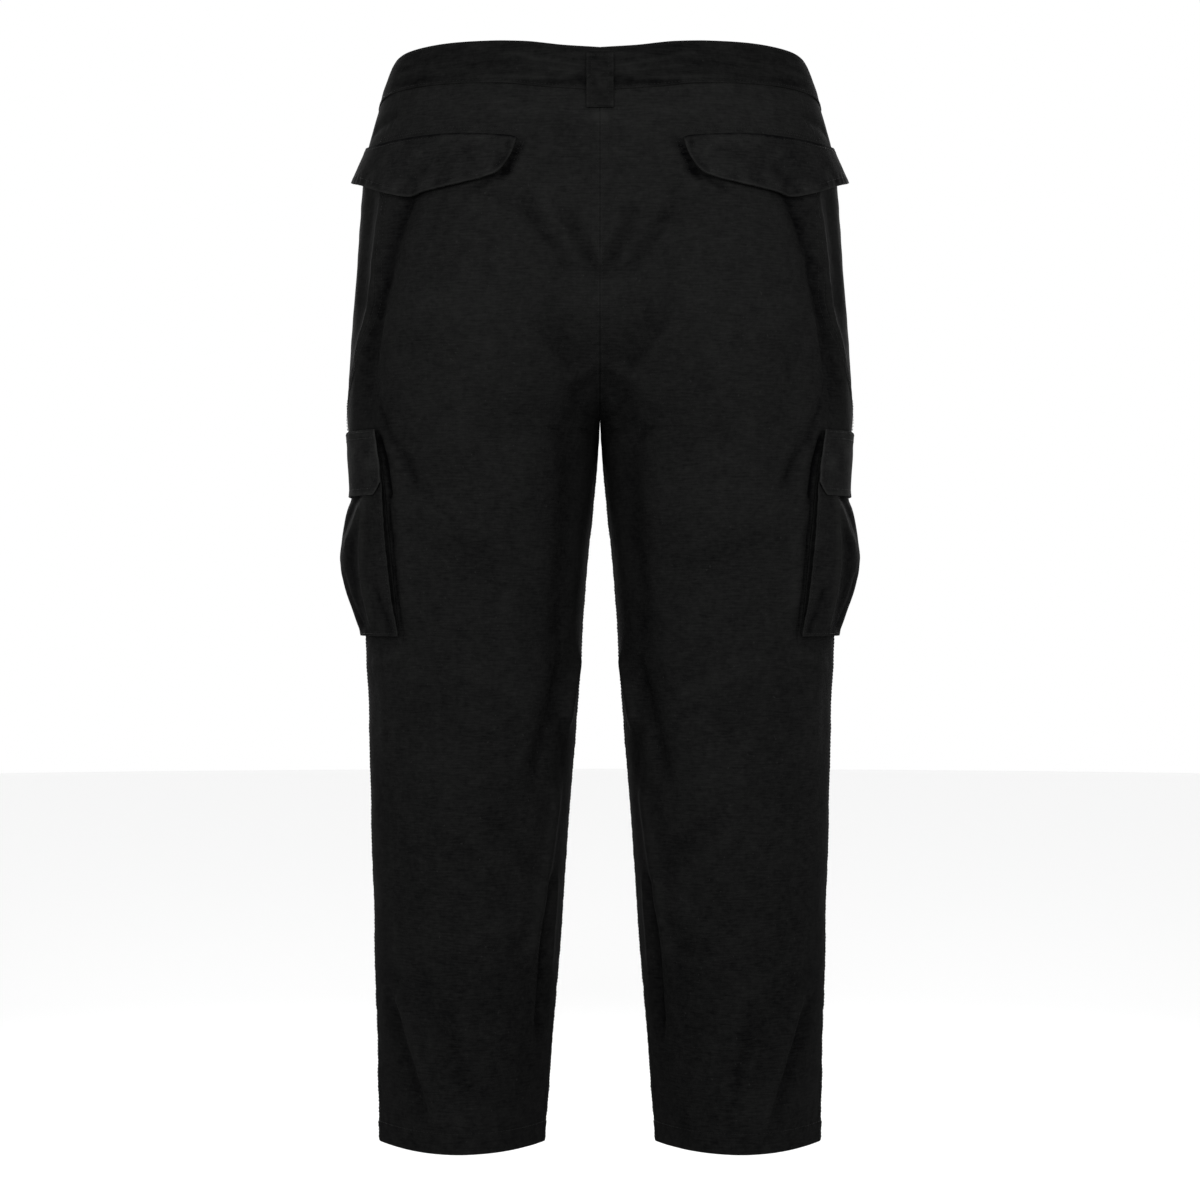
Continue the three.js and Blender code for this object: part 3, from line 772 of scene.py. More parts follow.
# Height of a painted highlight patch below the back belt loop.
HIGHLIGHT_PATCH_Z = -53.0
HEM_FOLD = 1.35
HEM_ZONE = 26.0
TOP_TURN = 2.1
TOP_TUCK = 7.0
TOP_GAP = 0.3
EDGE_ZONE = 10.0
PANEL_ROWS = {"inside": 5, "fold": 4, "hem": 12, "leg": 125, "seat": 48, "hip": 58, "top": 5}
PANEL_COLUMNS = {"back": 160, "front": 120}
PANEL_KNOTS = (0, 0.025, 0.1, 0.9, 0.975, 1)
# Divisors for how creases tint the legs: ridges lighter as wear and painted highlight, troughs
# darker as painted shade.
FOLD_WEAR_AND_SHADE = 18
CREASE_WEAR_AND_SHADE = 5
# Divisor for the painted shadow beside the pockets and flaps.
POCKET_PAINTED_SHADOW = 2.2
# Painted light: how much lighter the legs are towards the hips.
HIP_PAINTED_LIGHT = 0.16
# Strength and size of the painted highlight patch below the back belt loop.
HIGHLIGHT_PATCH_STRENGTH = 0.9
HIGHLIGHT_PATCH_SIZE = (11, 5)
TWIN_ROW = 8.0
INSEAM_ROW, RISE_ROW, OUTSEAM_ROW = 2.2, 2.4, 2.0


def panel_level(row, a, sizes):
    """Height of a panel's row, and how far the cloth is turned in there."""
    starts = np.cumsum([0, *PANEL_ROWS.values()])
    inside, fold, hem, leg, seat, hip, top = (
        np.clip((row - start) / count, 0, 1)
        for start, count in zip(starts, PANEL_ROWS.values())
    )
    turned = sizes.hem / MM
    seat_z = CROTCH_Z + SEAT_RISE
    z = (
        HEM_Z
        + turned
        - (turned - HEM_FOLD) * inside
        - HEM_FOLD * np.sin(math.pi * fold)
        + (HEM_ZONE - HEM_FOLD) * hem
        + (CROTCH_Z - HEM_Z - HEM_ZONE) * leg
        + SEAT_RISE * (1 - np.cos(math.pi / 2 * seat))
        + (band_bottom_at(a) - TOP_GAP - seat_z) * hip
        + (TOP_GAP + TOP_TUCK) * top
    )
    return z, HEM_FOLD * (1 + np.cos(math.pi * fold)) + TOP_TURN * smooth(top / 0.3)


def panel_across(u, z, to_back, sizes):
    """Where a panel's column lies, how far past the seam it is turned in, and how far within."""
    reach = half_girth(z, to_back)
    start = outseam_at(z) if to_back else -reach
    end = reach if to_back else outseam_at(z)
    width = end - start
    allowance = lerp(1.1, sizes.allowance / MM, smooth((z - HEM_Z - 30) / 30))
    ends = (-allowance, 0.0, EDGE_ZONE, width - EDGE_ZONE, width, width + allowance)
    along = spread(u, PANEL_KNOTS, ends)
    past = np.maximum(np.maximum(-along, along - width), 0)
    return start + np.clip(along, 0, width), past, np.minimum(along, width - along)


def seam_form(edge, along):
    """Lift beside a sewn edge: a dip, then the layers under it, puckered by the thread."""
    edge = np.maximum(edge, 0)
    puckers = puckers_at(along, 2.1, 3, 30, 8) * bump_at(edge, 7)
    layers = 1 - smooth((edge - 7.5) / 2)
    return -0.55 * bump_at(edge, 0.9) + 0.35 * layers + 0.16 * puckers


def hem_row(sizes):
    """Height of the hem's stitches, just under the edge that is turned up."""
    return HEM_Z + sizes.hem / MM - 2


def hem_form(z, a, sizes):
    """Lift near the hem: its edge prints through, and its stitches pucker it."""
    above = z - hem_row(sizes)
    puckers = puckers_at(a, 1.7, 2.5, 24, 9) * bump_at(above, 6)
    return 0.45 * (1 - smooth((above + 1) / 3)) + 0.22 * puckers - 0.2 * bump_at(above, 1)


def panel_lift(z, a, edge, sizes):
    return seam_form(edge, z) + hem_form(z, a, sizes) + crease_lift(z, a, BESIDE_POCKETS)


def panel_place(to_back, sizes):
    rows = sum(PANEL_ROWS.values())

    def lie(u, z, turned_in):
        a, past, edge = panel_across(u, z, to_back, sizes)
        lift = panel_lift(z, a, edge, sizes) - turned_in - past
        return moved_out(z, a, lift), a, edge

    def place(u, v):
        z, _ = panel_level(v * rows, 0.0, sizes)
        nearly, _, _ = panel_across(u, z, to_back, sizes)
        z, turned_in = panel_level(v * rows, nearly, sizes)
        places, a, edge = lie(u, z, turned_in)
        at_crotch = np.abs(z - CROTCH_Z - CROTCH_EASE / 6) < CROTCH_EASE
        here, level = u[at_crotch], z[at_crotch]
        reach = smooth(1 - np.abs(level - CROTCH_Z - CROTCH_EASE / 6) / CROTCH_EASE)
        near_by = [
            lie(here, level + step * reach, turned_in[at_crotch])[0]
            for step in np.linspace(-CROTCH_SPREAD, CROTCH_SPREAD, CROTCH_STEPS)
        ]
        weights = np.sin(np.linspace(0, math.pi, CROTCH_STEPS + 2))[1:-1]
        places[at_crotch, :2] = np.average(near_by, axis=0, weights=weights)[:, :2]
        # Creases tint the colour: ridges lighter as wear and painted highlight, troughs darker as
        # painted shade.
        wear_and_shade_of_creases = crease_lift(z, a, FOLDS) / FOLD_WEAR_AND_SHADE + crease_lift(z, a, CREASES) / CREASE_WEAR_AND_SHADE
        # The troughs beside the pockets and flaps are darkened as painted shadow.
        wear_and_shade_of_creases += crease_lift(z, a, BESIDE_POCKETS) / POCKET_PAINTED_SHADOW
        worn = 0.35 * bump_at(edge - 1.5, 1.6) + 0.4 * bump_at(z - HEM_Z, 3)
        fade_and_painted_light = np.clip(wear_and_shade_of_creases, -1.4, 1) + worn * (0.6 + 0.4 * drift(z, a, 9, 12))
        # Painted light: lighter towards the hips and darker towards the hem, as light falls from
        # above.
        fade_and_painted_light += HIP_PAINTED_LIGHT * (z - THIGH_Z) / (HIP_Z - THIGH_Z)
        # A painted highlight: a small light patch below the back belt loop.
        if to_back:
            wide, high = HIGHLIGHT_PATCH_SIZE
            highlight_patch = bump_at(places[:, 0], wide) * bump_at(z - HIGHLIGHT_PATCH_Z, high)
            fade_and_painted_light += HIGHLIGHT_PATCH_STRENGTH * highlight_patch
        return places, joined(a, z), fade_and_painted_light

    return place


def leg_surface(sizes):
    """The outer face of the leg panels, for what is sewn on them."""

    def surface(z, a):
        to_seam = np.abs(a - outseam_at(z))
        reach = np.where(a >= 0, half_girth(z, True), half_girth(z, False))
        edge = np.minimum(to_seam, np.maximum(reach - np.abs(a), 0))
        return moved_out(z, a, panel_lift(z, a, edge, sizes))

    return surface


class TROUSERS_OT_legs(bpy.types.Operator):
    """Makes the four leg panels, with their seams turned in, hems and topstitching"""

    bl_idname = "trousers.legs"
    bl_label = "Legs"

    def execute(self, context):
        sizes, colours = owned(context)
        rows = sum(PANEL_ROWS.values())
        material = twill_material("leg twill", colours, 1.0, 1.0)
        levels = np.linspace(HEM_Z + 3, -60, 180)
        seam = np.array([outseam_at(z) for z in levels])
        inseam = levels[levels < CROTCH_Z - CROTCH_EASE]
        rise = np.linspace(CROTCH_Z + CROTCH_EASE + 8, -60, 60)
        hem_line = hem_row(sizes)
        hem_girth = {back: half_girth(np.array([hem_line]), back)[0] for back in (True, False)}
        for side in SIDES:
            for name, to_back in (("back", True), ("front", False)):
                sign = 1 if to_back else -1
                reach = half_girth(inseam, to_back)
                centre = half_girth(rise, to_back)
                around = np.linspace(3, hem_girth[to_back] - 3, 60) * sign
                lines = [
                    joined(sign * (reach - INSEAM_ROW), inseam),
                    joined(sign * (centre - RISE_ROW), rise),
                    joined(sign * (centre - TWIN_ROW), rise),
                    joined(around, hem_line),
                ]
                if to_back:
                    lines.append(joined(seam + OUTSEAM_ROW, levels))
                    lines.append(joined(seam + TWIN_ROW, levels))
                sew(
                    f"{name}_leg", side, (PANEL_COLUMNS[name], rows), panel_place(to_back, sizes),
                    sizes.leg_cloth, material,
                    leg_surface(sizes), lines,
                )
        return {"FINISHED"}


# The waistband and belt loops.

BAND_GRID = (170, 32)
BAND_EXTRA = 14
BAND_ROW = 2.4
BAND_ROUND = 0.14
BAND_CREASE_WEAR_AND_SHADE = 1.8


def band_lift(z, a):
    """Ripples that the sewing draws into the waistband."""
    ripples = 0.22 * drift(a, z * 5, 15, 21) + 0.25 * drift(a, z * 2, 40, 22)
    from_top = band_top_at(a) - z
    channel = bump_at(from_top - BAND_ROW, 1) + bump_at(BAND_HEIGHT - from_top - BAND_ROW, 1)
    return ripples - 0.18 * channel


def band_place(overlapped):
    extra = BAND_EXTRA if overlapped else 0
    columns = BAND_GRID[0] + extra

    def place(u, v):
        column = u * columns
        share = (column - extra) / (columns - extra)
        z, a = -0.5 * BAND_HEIGHT + 0 * u, 0 * u
        for _ in range(3):
            front, back = (half_girth(z, side) for side in (False, True))
            a = np.where(share < 0.5, -front * (1 - 2 * share), back * (2 * share - 1))
            a = np.clip(a, -front, back)
            z = band_top_at(a) - BAND_HEIGHT * (1 - v)
        from_front = np.where(share < 0.5, front + a, BAND_RAMP)
        on_top = 1 - smooth(from_front / BAND_RAMP) if overlapped else 0 * a
        places = moved_out(z, a, BAND_PROUD + BAND_STACK * on_top + band_lift(z, a))
        over = column < extra
        if over.any():
            x = -BAND_OVERLAP * (1 - column[over] / extra)
            z[over] = band_top_at(CENTRE_FRONT_A) - BAND_HEIGHT * (1 - v[over])
            lift = BAND_PROUD + BAND_STACK + band_lift(z[over], a[over] + x)
            places[over] = at_centre(z[over], x, False, lift)
            a[over] = a[over] + x
        from_edge = np.minimum(v, 1 - v) * BAND_HEIGHT
        fade_and_painted_light = 0.35 * drift(a, z * 6, 30, 23) + 0.3 * bump_at(from_edge, 1.8)
        # Creases tint the waistband: ridges lighter as wear and painted highlight, troughs darker
        # as painted shade.
        fade_and_painted_light += crease_lift(z, a, CREASES) / BAND_CREASE_WEAR_AND_SHADE
        return places, joined(a, z), fade_and_painted_light

    return place


def band_surface(z, a):
    return moved_out(z, a, BAND_PROUD + band_lift(z, a))


class TROUSERS_OT_waistband(bpy.types.Operator):
    """Makes both halves of the waistband, the left lapping over the right in front"""

    bl_idname = "trousers.waistband"
    bl_label = "Waistband"

    def execute(self, context):
        sizes, colours = owned(context)
        material = twill_material("waistband twill", colours, 0.8, 2.0)
        for side in SIDES:
            overlapped = side == "left"
            columns = BAND_GRID[0] + (BAND_EXTRA if overlapped else 0)
            around = np.linspace(-240, 262, 170)
            lines = [
                joined(around, band_top_at(around) - BAND_ROW),
                joined(around, band_bottom_at(around) + BAND_ROW),
            ]
            sew(
                "waistband", side, (columns, BAND_GRID[1]), band_place(overlapped),
                sizes.band_cloth, material, band_surface, lines, BAND_ROUND,
            )
        return {"FINISHED"}


LOOP_GRID = (20, 44)
LOOP_WALL = 1.4
LOOP_ROW = 4.5
LOOP_TACK = 3.5
LOOP_TACK_HALF = 0.5


def loop_lift(v, z, bottom):
    """A loop stands off the waistband a little and settles on the cloth below it."""
    settled = smooth((bottom - z) / LOOP_SETTLE)
    slack = LOOP_SLACK * np.sin(math.pi * v)
    return lerp(BAND_PROUD + slack, 0.0, settled) + LAID_GAP + LOOP_WALL


def loop_form(x, v):
    """The loop's own relief: folded edges, two rows of stitches and a bar tack at each end."""
    from_edge = LOOP_WIDTH / 2 - np.abs(x)
    rows = bump_at(from_edge - LOOP_ROW, 0.9)
    end = np.minimum(v, 1 - v) * LOOP_LENGTH
    tack = bump_at(end - LOOP_TACK, 1.6)
    return -0.16 * rows - 0.25 * tack + 0.12 * drift(x, v * 60, 6, 31)


def loop_wear_and_highlight(x, v):
    from_edge = LOOP_WIDTH / 2 - np.abs(x)
    end = np.minimum(v, 1 - v) * LOOP_LENGTH
    # The bar tacks are lighter, most towards the loop's sides: painted highlights; the folded edges
    # are lighter as wear.
    tack = bump_at(end - LOOP_TACK, 1.5) * (0.5 + 0.5 * bump_at(from_edge - 2, 3))
    return 0.5 * bump_at(from_edge, 1.2) + 0.9 * tack + 0.3 * drift(x, v * 60, 5, 32)


def loop_paths(top, middle_at):
    """Two rows of stitches down the loop and a bar tack across each end, as a, z."""
    down = np.linspace(top - 1.5, top - LOOP_LENGTH + 1.5, 24)
    row = LOOP_WIDTH / 2 - LOOP_ROW
    paths = [joined(x, down) for x in (-row, row)]
    for level in (top - LOOP_TACK, top - LOOP_LENGTH + LOOP_TACK):
        for nudge in (-LOOP_TACK_HALF, LOOP_TACK_HALF):
            paths.append(joined(np.linspace(-11, 11, 8), level + nudge))
    for path in paths:
        path[:, 0] += middle_at(path[:, 1])
    return paths


class TROUSERS_OT_belt_loops(bpy.types.Operator):
    """Makes the five belt loops"""

    bl_idname = "trousers.belt_loops"
    bl_label = "Belt loops"

    def execute(self, context):
        _, colours = owned(context)
        material = twill_material("loop twill", colours, 0.8, 3.0)
        for side in SIDES:
            for name, centre in (("side", SIDE_LOOP_A), ("front", FRONT_LOOP_A)):
                top = float(band_top_at(centre)) + LOOP_TOP
                share = centre / half_girth(np.array([top - LOOP_TOP]), False)[0]

                def middle_at(z):
                    return share * half_girth(z, False)

                def lie(z, a):
                    v = 1 - (band_top_at(a) + LOOP_TOP - z) / LOOP_LENGTH
                    lift = loop_lift(np.clip(v, 0, 1), z, band_bottom_at(a))
                    across = a - middle_at(top - LOOP_LENGTH * (1 - v))
                    return moved_out(z, a, lift + loop_form(across, v))

                def place(u, v):
                    across = (u - 0.5) * LOOP_WIDTH
                    a = middle_at(top - LOOP_LENGTH * (1 - v)) + across
                    z = band_top_at(a) + LOOP_TOP - LOOP_LENGTH * (1 - v)
                    return lie(z, a), joined(across, z), loop_wear_and_highlight(across, v)

                self.loop(
                    name, side, lie, place, material, [f"waistband_cloth_{side}"], top, middle_at
                )
        self.back_loop(material)
        return {"FINISHED"}

    def loop(self, name, side, lie, place, material, rests_on, top, middle_at):
        sew(
            f"belt_loop_{name}", side, LOOP_GRID, place, LOOP_WALL * MM, material,
            lie, loop_paths(top, middle_at), EDGE_ROUND,
        )

    def back_loop(self, material):
        top = float(band_top_at(CENTRE_BACK_A)) + LOOP_TOP
        bottom = float(band_bottom_at(CENTRE_BACK_A))

        def lie(z, a):
            v = 1 - (top - z) / LOOP_LENGTH
            lift = loop_lift(np.clip(v, 0, 1), z, bottom) + loop_form(a, v)
            return at_centre(z, -a, True, lift)

        def place(u, v):
            a = (u - 0.5) * LOOP_WIDTH
            z = top - LOOP_LENGTH * (1 - v)
            return lie(z, a), joined(a + CENTRE_BACK_A, z), loop_wear_and_highlight(a, v)

        halves = [f"waistband_cloth_{side}" for side in SIDES]
        self.loop("back", None, lie, place, material, halves, top, np.zeros_like)


# The back pocket flaps.

BACK_FLAP_GRID = (150, 40)
BACK_FLAP_ROW = 6.5


def back_flap_share(z, a):
    low, top = back_flap_low_at(a), back_flap_top_at(a)
    return np.clip((z - low) / (top - low), 0, 1)


def back_flap_surface(z, a):
    v = back_flap_share(z, a)
    from_low = z - back_flap_low_at(a)
    from_end = BACK_FLAP_INNER - a
    from_edge = np.minimum(from_low, from_end)
    puckers = puckers_at(a, 2.3, 2.4, 16, 41) * bump_at(from_low - 4, 5)
    form = 0.45 * puckers - 0.2 * bump_at(from_edge - BACK_FLAP_ROW, 1)
    form = form + 0.5 * drift(a, z, 22, 42) * (1 - v)
    lift = LAID_GAP + back_flap_lift_at(a) * (1 - v) ** BACK_FLAP_CURL + BACK_FLAP_WALL
    return moved_out(z, a, lift + form)


class TROUSERS_OT_back_flaps(bpy.types.Operator):
    """Makes the two flaps of the back pockets, lifted at their free edges"""

    bl_idname = "trousers.back_flaps"
    bl_label = "Back pocket flaps"

    def execute(self, context):
        sizes, colours = owned(context)
        # A lighter copy of the twill: painted light, as the flaps face the light more than the
        # legs.
        material = twill_material("back flap twill", colours, 1.16, 4.0)

        def place(u, v):
            a = lerp(BACK_FLAP_OUTER, BACK_FLAP_INNER, u**0.9)
            z = lerp(back_flap_low_at(a), back_flap_top_at(a), v)
            from_edge = np.minimum(z - back_flap_low_at(a), BACK_FLAP_INNER - a)
            fade_and_painted_light = 0.8 * bump_at(from_edge, 1.5) + 0.35 * drift(a, z, 14, 43)
            fade_and_painted_light = fade_and_painted_light + 0.5 * bump_at(from_edge - 6, 2.5) * drift(a, z, 5, 44)
            fade_and_painted_light = fade_and_painted_light - 1.2 * bump_at(back_flap_top_at(a) - z, 1.6)
            return back_flap_surface(z, a), joined(a, z), fade_and_painted_light

        around = np.linspace(BACK_FLAP_OUTER + 2, BACK_FLAP_INNER - 12, 60)
        low = joined(around, back_flap_low_at(around) + BACK_FLAP_ROW)
        up = np.linspace(-98, -78, 6)
        low = np.vstack([low, joined(BACK_FLAP_INNER - BACK_FLAP_ROW, up)])
        top = joined(around, back_flap_top_at(around) - 3)
        whipped = []
        for a in np.arange(62, BACK_FLAP_INNER - 4, sizes.stitch_pitch / MM):
            edge = float(back_flap_top_at(a))
            whipped.append([(a, edge + 2.5), (a, edge + 7.5)])
        for z in np.arange(-104, -72, sizes.stitch_pitch / MM):
            whipped.append([(BACK_FLAP_INNER + 3, z), (BACK_FLAP_INNER + 9, z)])
        for side in SIDES:
            sew(
                "back_flap", side, BACK_FLAP_GRID, place, BACK_FLAP_WALL * MM, material,
                back_flap_surface, [low, top], EDGE_ROUND,
            )
            stitches(f"back_pocket_whipping_{side}", side, leg_surface(sizes), whipped)
        return {"FINISHED"}


# The thigh pockets.

CARGO_GRID = (96, 96)
CARGO_FLAP_GRID = (110, 40)
GUSSET_GRID = (180, 10)
CARGO_ROW = 2.5
CARGO_FLAP_ROW = 6.0
GUSSET_PLEAT = 5.0
CARGO_CREASE_WEAR_AND_SHADE = 3.6


def cargo_lift(z, a):
    """How far the thigh pocket's face stands out from the leg."""
    share = np.clip(np.abs(a) / CARGO_REACH, 0, 1)
    round_share = np.cos(share * math.pi / 2) ** CARGO_FULLNESS
    return lerp(cargo_edge_at(z), cargo_bulge_at(z), round_share)


# Creases of the thigh pocket's own cloth.
CARGO_CREASES = (
    (67, -401, 36, -441, 5, 1.8),
    (48, -398, 26, -424, 8, -2.6),
    (69, -404, 62, -514, 4, 2.0),
    (47, -440, 43, -526, 12, -2.7),
    (24, -480, 32, -524, 8, -2.4),
    (79, -488, 87, -524, 4, -1.8),
    (-66, -402, -36, -441, 4.5, 1.8),
    (-69, -404, -62, -514, 4, 1.8),
    (-51, -440, -47, -526, 9, -2.4),
)


def cargo_face_form(z, a):
    from_side = CARGO_REACH - np.abs(a)
    from_edge = np.minimum(from_side, z - CARGO_BOTTOM)
    puckers = np.sin(z / 2.2 + a / 3 + 2 * drift(z, a, 16, 51)) * bump_at(from_edge - 3, 5)
    fold = crease_lift(z, a, CARGO_CREASES) * smooth(from_edge / 12)
    groove = bump_at(from_edge - CARGO_ROW, 0.9)
    return fold + 0.25 * puckers + 0.4 * drift(a, z, 20, 52) - 0.2 * groove


def cargo_face_surface(z, a):
    return moved_out(z, a, cargo_lift(z, a) + cargo_face_form(z, a))


def cargo_flap_surface(z, a):
    v = np.clip((z - FLAP_BOTTOM) / (FLAP_TOP - FLAP_BOTTOM), 0, 1)
    from_edge = np.minimum(z - FLAP_BOTTOM, FLAP_REACH - np.abs(a))
    groove = bump_at(from_edge - CARGO_FLAP_ROW, 0.9)
    form = 0.35 * drift(a, z, 18, 61) * (1 - v) - 0.2 * groove
    form = form + 0.25 * np.sin(a / 2.2 + z / 4) * bump_at(from_edge - 4, 4) * drift(a, z, 15, 62)
    lift = cargo_lift(z, a) + LAID_GAP + 0.5 * (1 - v) + FLAP_WALL
    return moved_out(z, a, lift + form)


class TROUSERS_OT_thigh_pockets(bpy.types.Operator):
    """Makes both thigh pockets: a face, the pleated gusset round it and the flap"""

    bl_idname = "trousers.thigh_pockets"
    bl_label = "Thigh pockets"

    def execute(self, context):
        sizes, colours = owned(context)
        face_cloth = twill_material("thigh pocket twill", colours, 1.0, 5.0)
        # A lighter copy of the twill: painted light, as the flaps face the light more than the
        # legs.
        flap_cloth = twill_material("thigh flap twill", colours, 1.42, 6.0)
        # A darker copy of the twill: painted shade in the gap beside the pocket's face.
        gusset_cloth = twill_material("gusset twill", colours, 0.75, 7.0)
        for side in SIDES:
            self.face(side, face_cloth)
            self.gusset(side, sizes.gusset_cloth, gusset_cloth)
            self.flap(side, flap_cloth)
        return {"FINISHED"}

    def face(self, side, material):
        def place(u, v):
            a = lerp(-CARGO_REACH, CARGO_REACH, u)
            z = lerp(CARGO_BOTTOM, CARGO_MOUTH, v)
            from_edge = np.minimum(CARGO_REACH - np.abs(a), z - CARGO_BOTTOM)
            # Creases tint the pocket: ridges lighter as wear and painted highlight, troughs darker
            # as painted shade.
            creases = crease_lift(z, a, CARGO_CREASES) / CARGO_CREASE_WEAR_AND_SHADE
            fade_and_painted_light = 0.5 * bump_at(from_edge, 1.6) + creases
            return cargo_face_surface(z, a), joined(a, z), fade_and_painted_light

        reach, low = CARGO_REACH - CARGO_ROW, CARGO_BOTTOM + CARGO_ROW
        down = np.linspace(CARGO_MOUTH - 40, low, 40)
        across = np.linspace(-reach, reach, 50)
        lines = [joined(reach, down), joined(-reach, down), joined(across, low)]
        sew(
            "cargo_face", side, CARGO_GRID, place, CARGO_WALL * MM, material,
            cargo_face_surface, lines, EDGE_ROUND,
        )

    def gusset(self, side, wall, material):
        tall, wide = CARGO_MOUTH - CARGO_BOTTOM, 2 * CARGO_REACH
        around = tall + wide + tall

        def place(u, v):
            run = u * around
            pleat = 1.4 + GUSSET_PLEAT * np.sin(math.pi * v)
            across = np.clip((run - tall) / wide, 0, 1)
            a = lerp(pleat - CARGO_REACH, CARGO_REACH - pleat, across)
            climb = np.maximum(np.maximum(tall - run, run - tall - wide), 0) / tall
            z = lerp(CARGO_BOTTOM + pleat, CARGO_MOUTH, climb)
            under = cargo_lift(z, a) + cargo_face_form(z, a) - CARGO_WALL - SEAM_GAP
            lift = lerp(LAID_GAP + 0.3, under, v)
            # Darker along the middle of the pleat: painted shade.
            fade_and_painted_light = -0.5 * np.sin(math.pi * v)
            return moved_out(z, a, lift), joined(run, lift), fade_and_painted_light

        sew(
            "cargo_gusset", side, GUSSET_GRID, place, wall, material,
        )

    def flap(self, side, material):
        def place(u, v):
            a = lerp(-FLAP_REACH, FLAP_REACH, u)
            cut = np.maximum(np.abs(a) - FLAP_REACH + FLAP_CORNER, 0)
            z = lerp(FLAP_BOTTOM + cut, FLAP_TOP, v)
            from_edge = np.minimum(z - FLAP_BOTTOM - cut, FLAP_REACH - np.abs(a))
            fade_and_painted_light = 0.8 * bump_at(from_edge, 1.6) + 0.4 * drift(a, z, 16, 63)
            return cargo_flap_surface(z, a), joined(a, z), fade_and_painted_light

        reach, low = FLAP_REACH - CARGO_FLAP_ROW, FLAP_BOTTOM + CARGO_FLAP_ROW
        bend = reach - FLAP_CORNER + CARGO_FLAP_ROW / 3
        free_edge = [
            (reach, FLAP_TOP - 2), (reach, low + reach - bend), (bend, low),
            (-bend, low), (-reach, low + reach - bend), (-reach, FLAP_TOP - 2),
        ]
        across = np.linspace(-FLAP_REACH + 2, FLAP_REACH - 2, 50)
        lines = [free_edge]
        lines += [joined(across, FLAP_TOP - drop) for drop in (2.0, 8.0)]
        sew(
            "cargo_flap", side, CARGO_FLAP_GRID, place, FLAP_WALL * MM, material,
            cargo_flap_surface, lines, EDGE_ROUND,
        )


# The fly and the button.

FLY_GRID = (40, 110)
FLY_WALL = 1.4
FLY_ROW = 4.0
FLY_INNER_ROW = 2.5


def fly_edge(down):
    """How far across the placket reaches, a given way down from its top."""
    past = np.clip((down - (FLY_LENGTH - FLY_ROUND)) / FLY_ROUND, 0, 1)
    return lerp(FLY_END - FLY_UNDERLAP, FLY_WIDTH, np.sqrt(1 - past**2))


class TROUSERS_OT_fly(bpy.types.Operator):
    """Makes the placket that covers the fly"""

    bl_idname = "trousers.fly"
    bl_label = "Fly"

    def execute(self, context):
        _, colours = owned(context)
        top = float(band_bottom_at(CENTRE_FRONT_A)) - 2 * SEAM_GAP

        def lie(z, a):
            from_edge = fly_edge(top - z) - a
            inner = a + FLY_UNDERLAP - FLY_INNER_ROW
            groove = bump_at(from_edge - FLY_ROW, 0.9) + bump_at(inner, 0.9)
            puckers = puckers_at(z, 2.3, 2, 15, 72) * bump_at(from_edge - 3, 5)
            form = 0.2 * puckers + 0.2 * drift(a, z, 14, 71) - 0.18 * groove
            return at_centre(z, a, False, LAID_GAP + FLY_WALL + form)

        def place(u, v):
            z = top - FLY_LENGTH * (1 - v)
            edge = fly_edge(top - z)
            x = lerp(-FLY_UNDERLAP, edge, u)
            from_edge = np.minimum(edge - x, x + FLY_UNDERLAP)
            fade_and_painted_light = 0.7 * bump_at(from_edge, 1.5) + 0.2 * drift(x, z, 10, 73)
            return lie(z, x), joined(x, z), fade_and_painted_light

        down = np.linspace(3, FLY_LENGTH - 8, 60)
        lines = [
            joined(np.maximum(fly_edge(down) - FLY_ROW, 0), top - down),
            joined(FLY_INNER_ROW - FLY_UNDERLAP, top - down),
        ]
        sew(
            "fly_placket", None, FLY_GRID, place, FLY_WALL * MM,
            twill_material("fly twill", colours, 1.02, 8.0),
            lie, lines, EDGE_ROUND,
        )
        return {"FINISHED"}


BUTTON_STEPS = 48
BUTTON_HOLE_STEPS = 20
BUTTON_HOLE_RADIUS = 0.9
BUTTON_HOLE_REACH = 1.7
BUTTON_RIM = 1.8
BUTTON_DISH = 1.0
BUTTON_ROUND = 1.0
BUTTON_EDGE = 0.25
BUTTON_BEVEL_FROM = math.radians(25)
BUTTON_SHARP_FROM = math.radians(30)


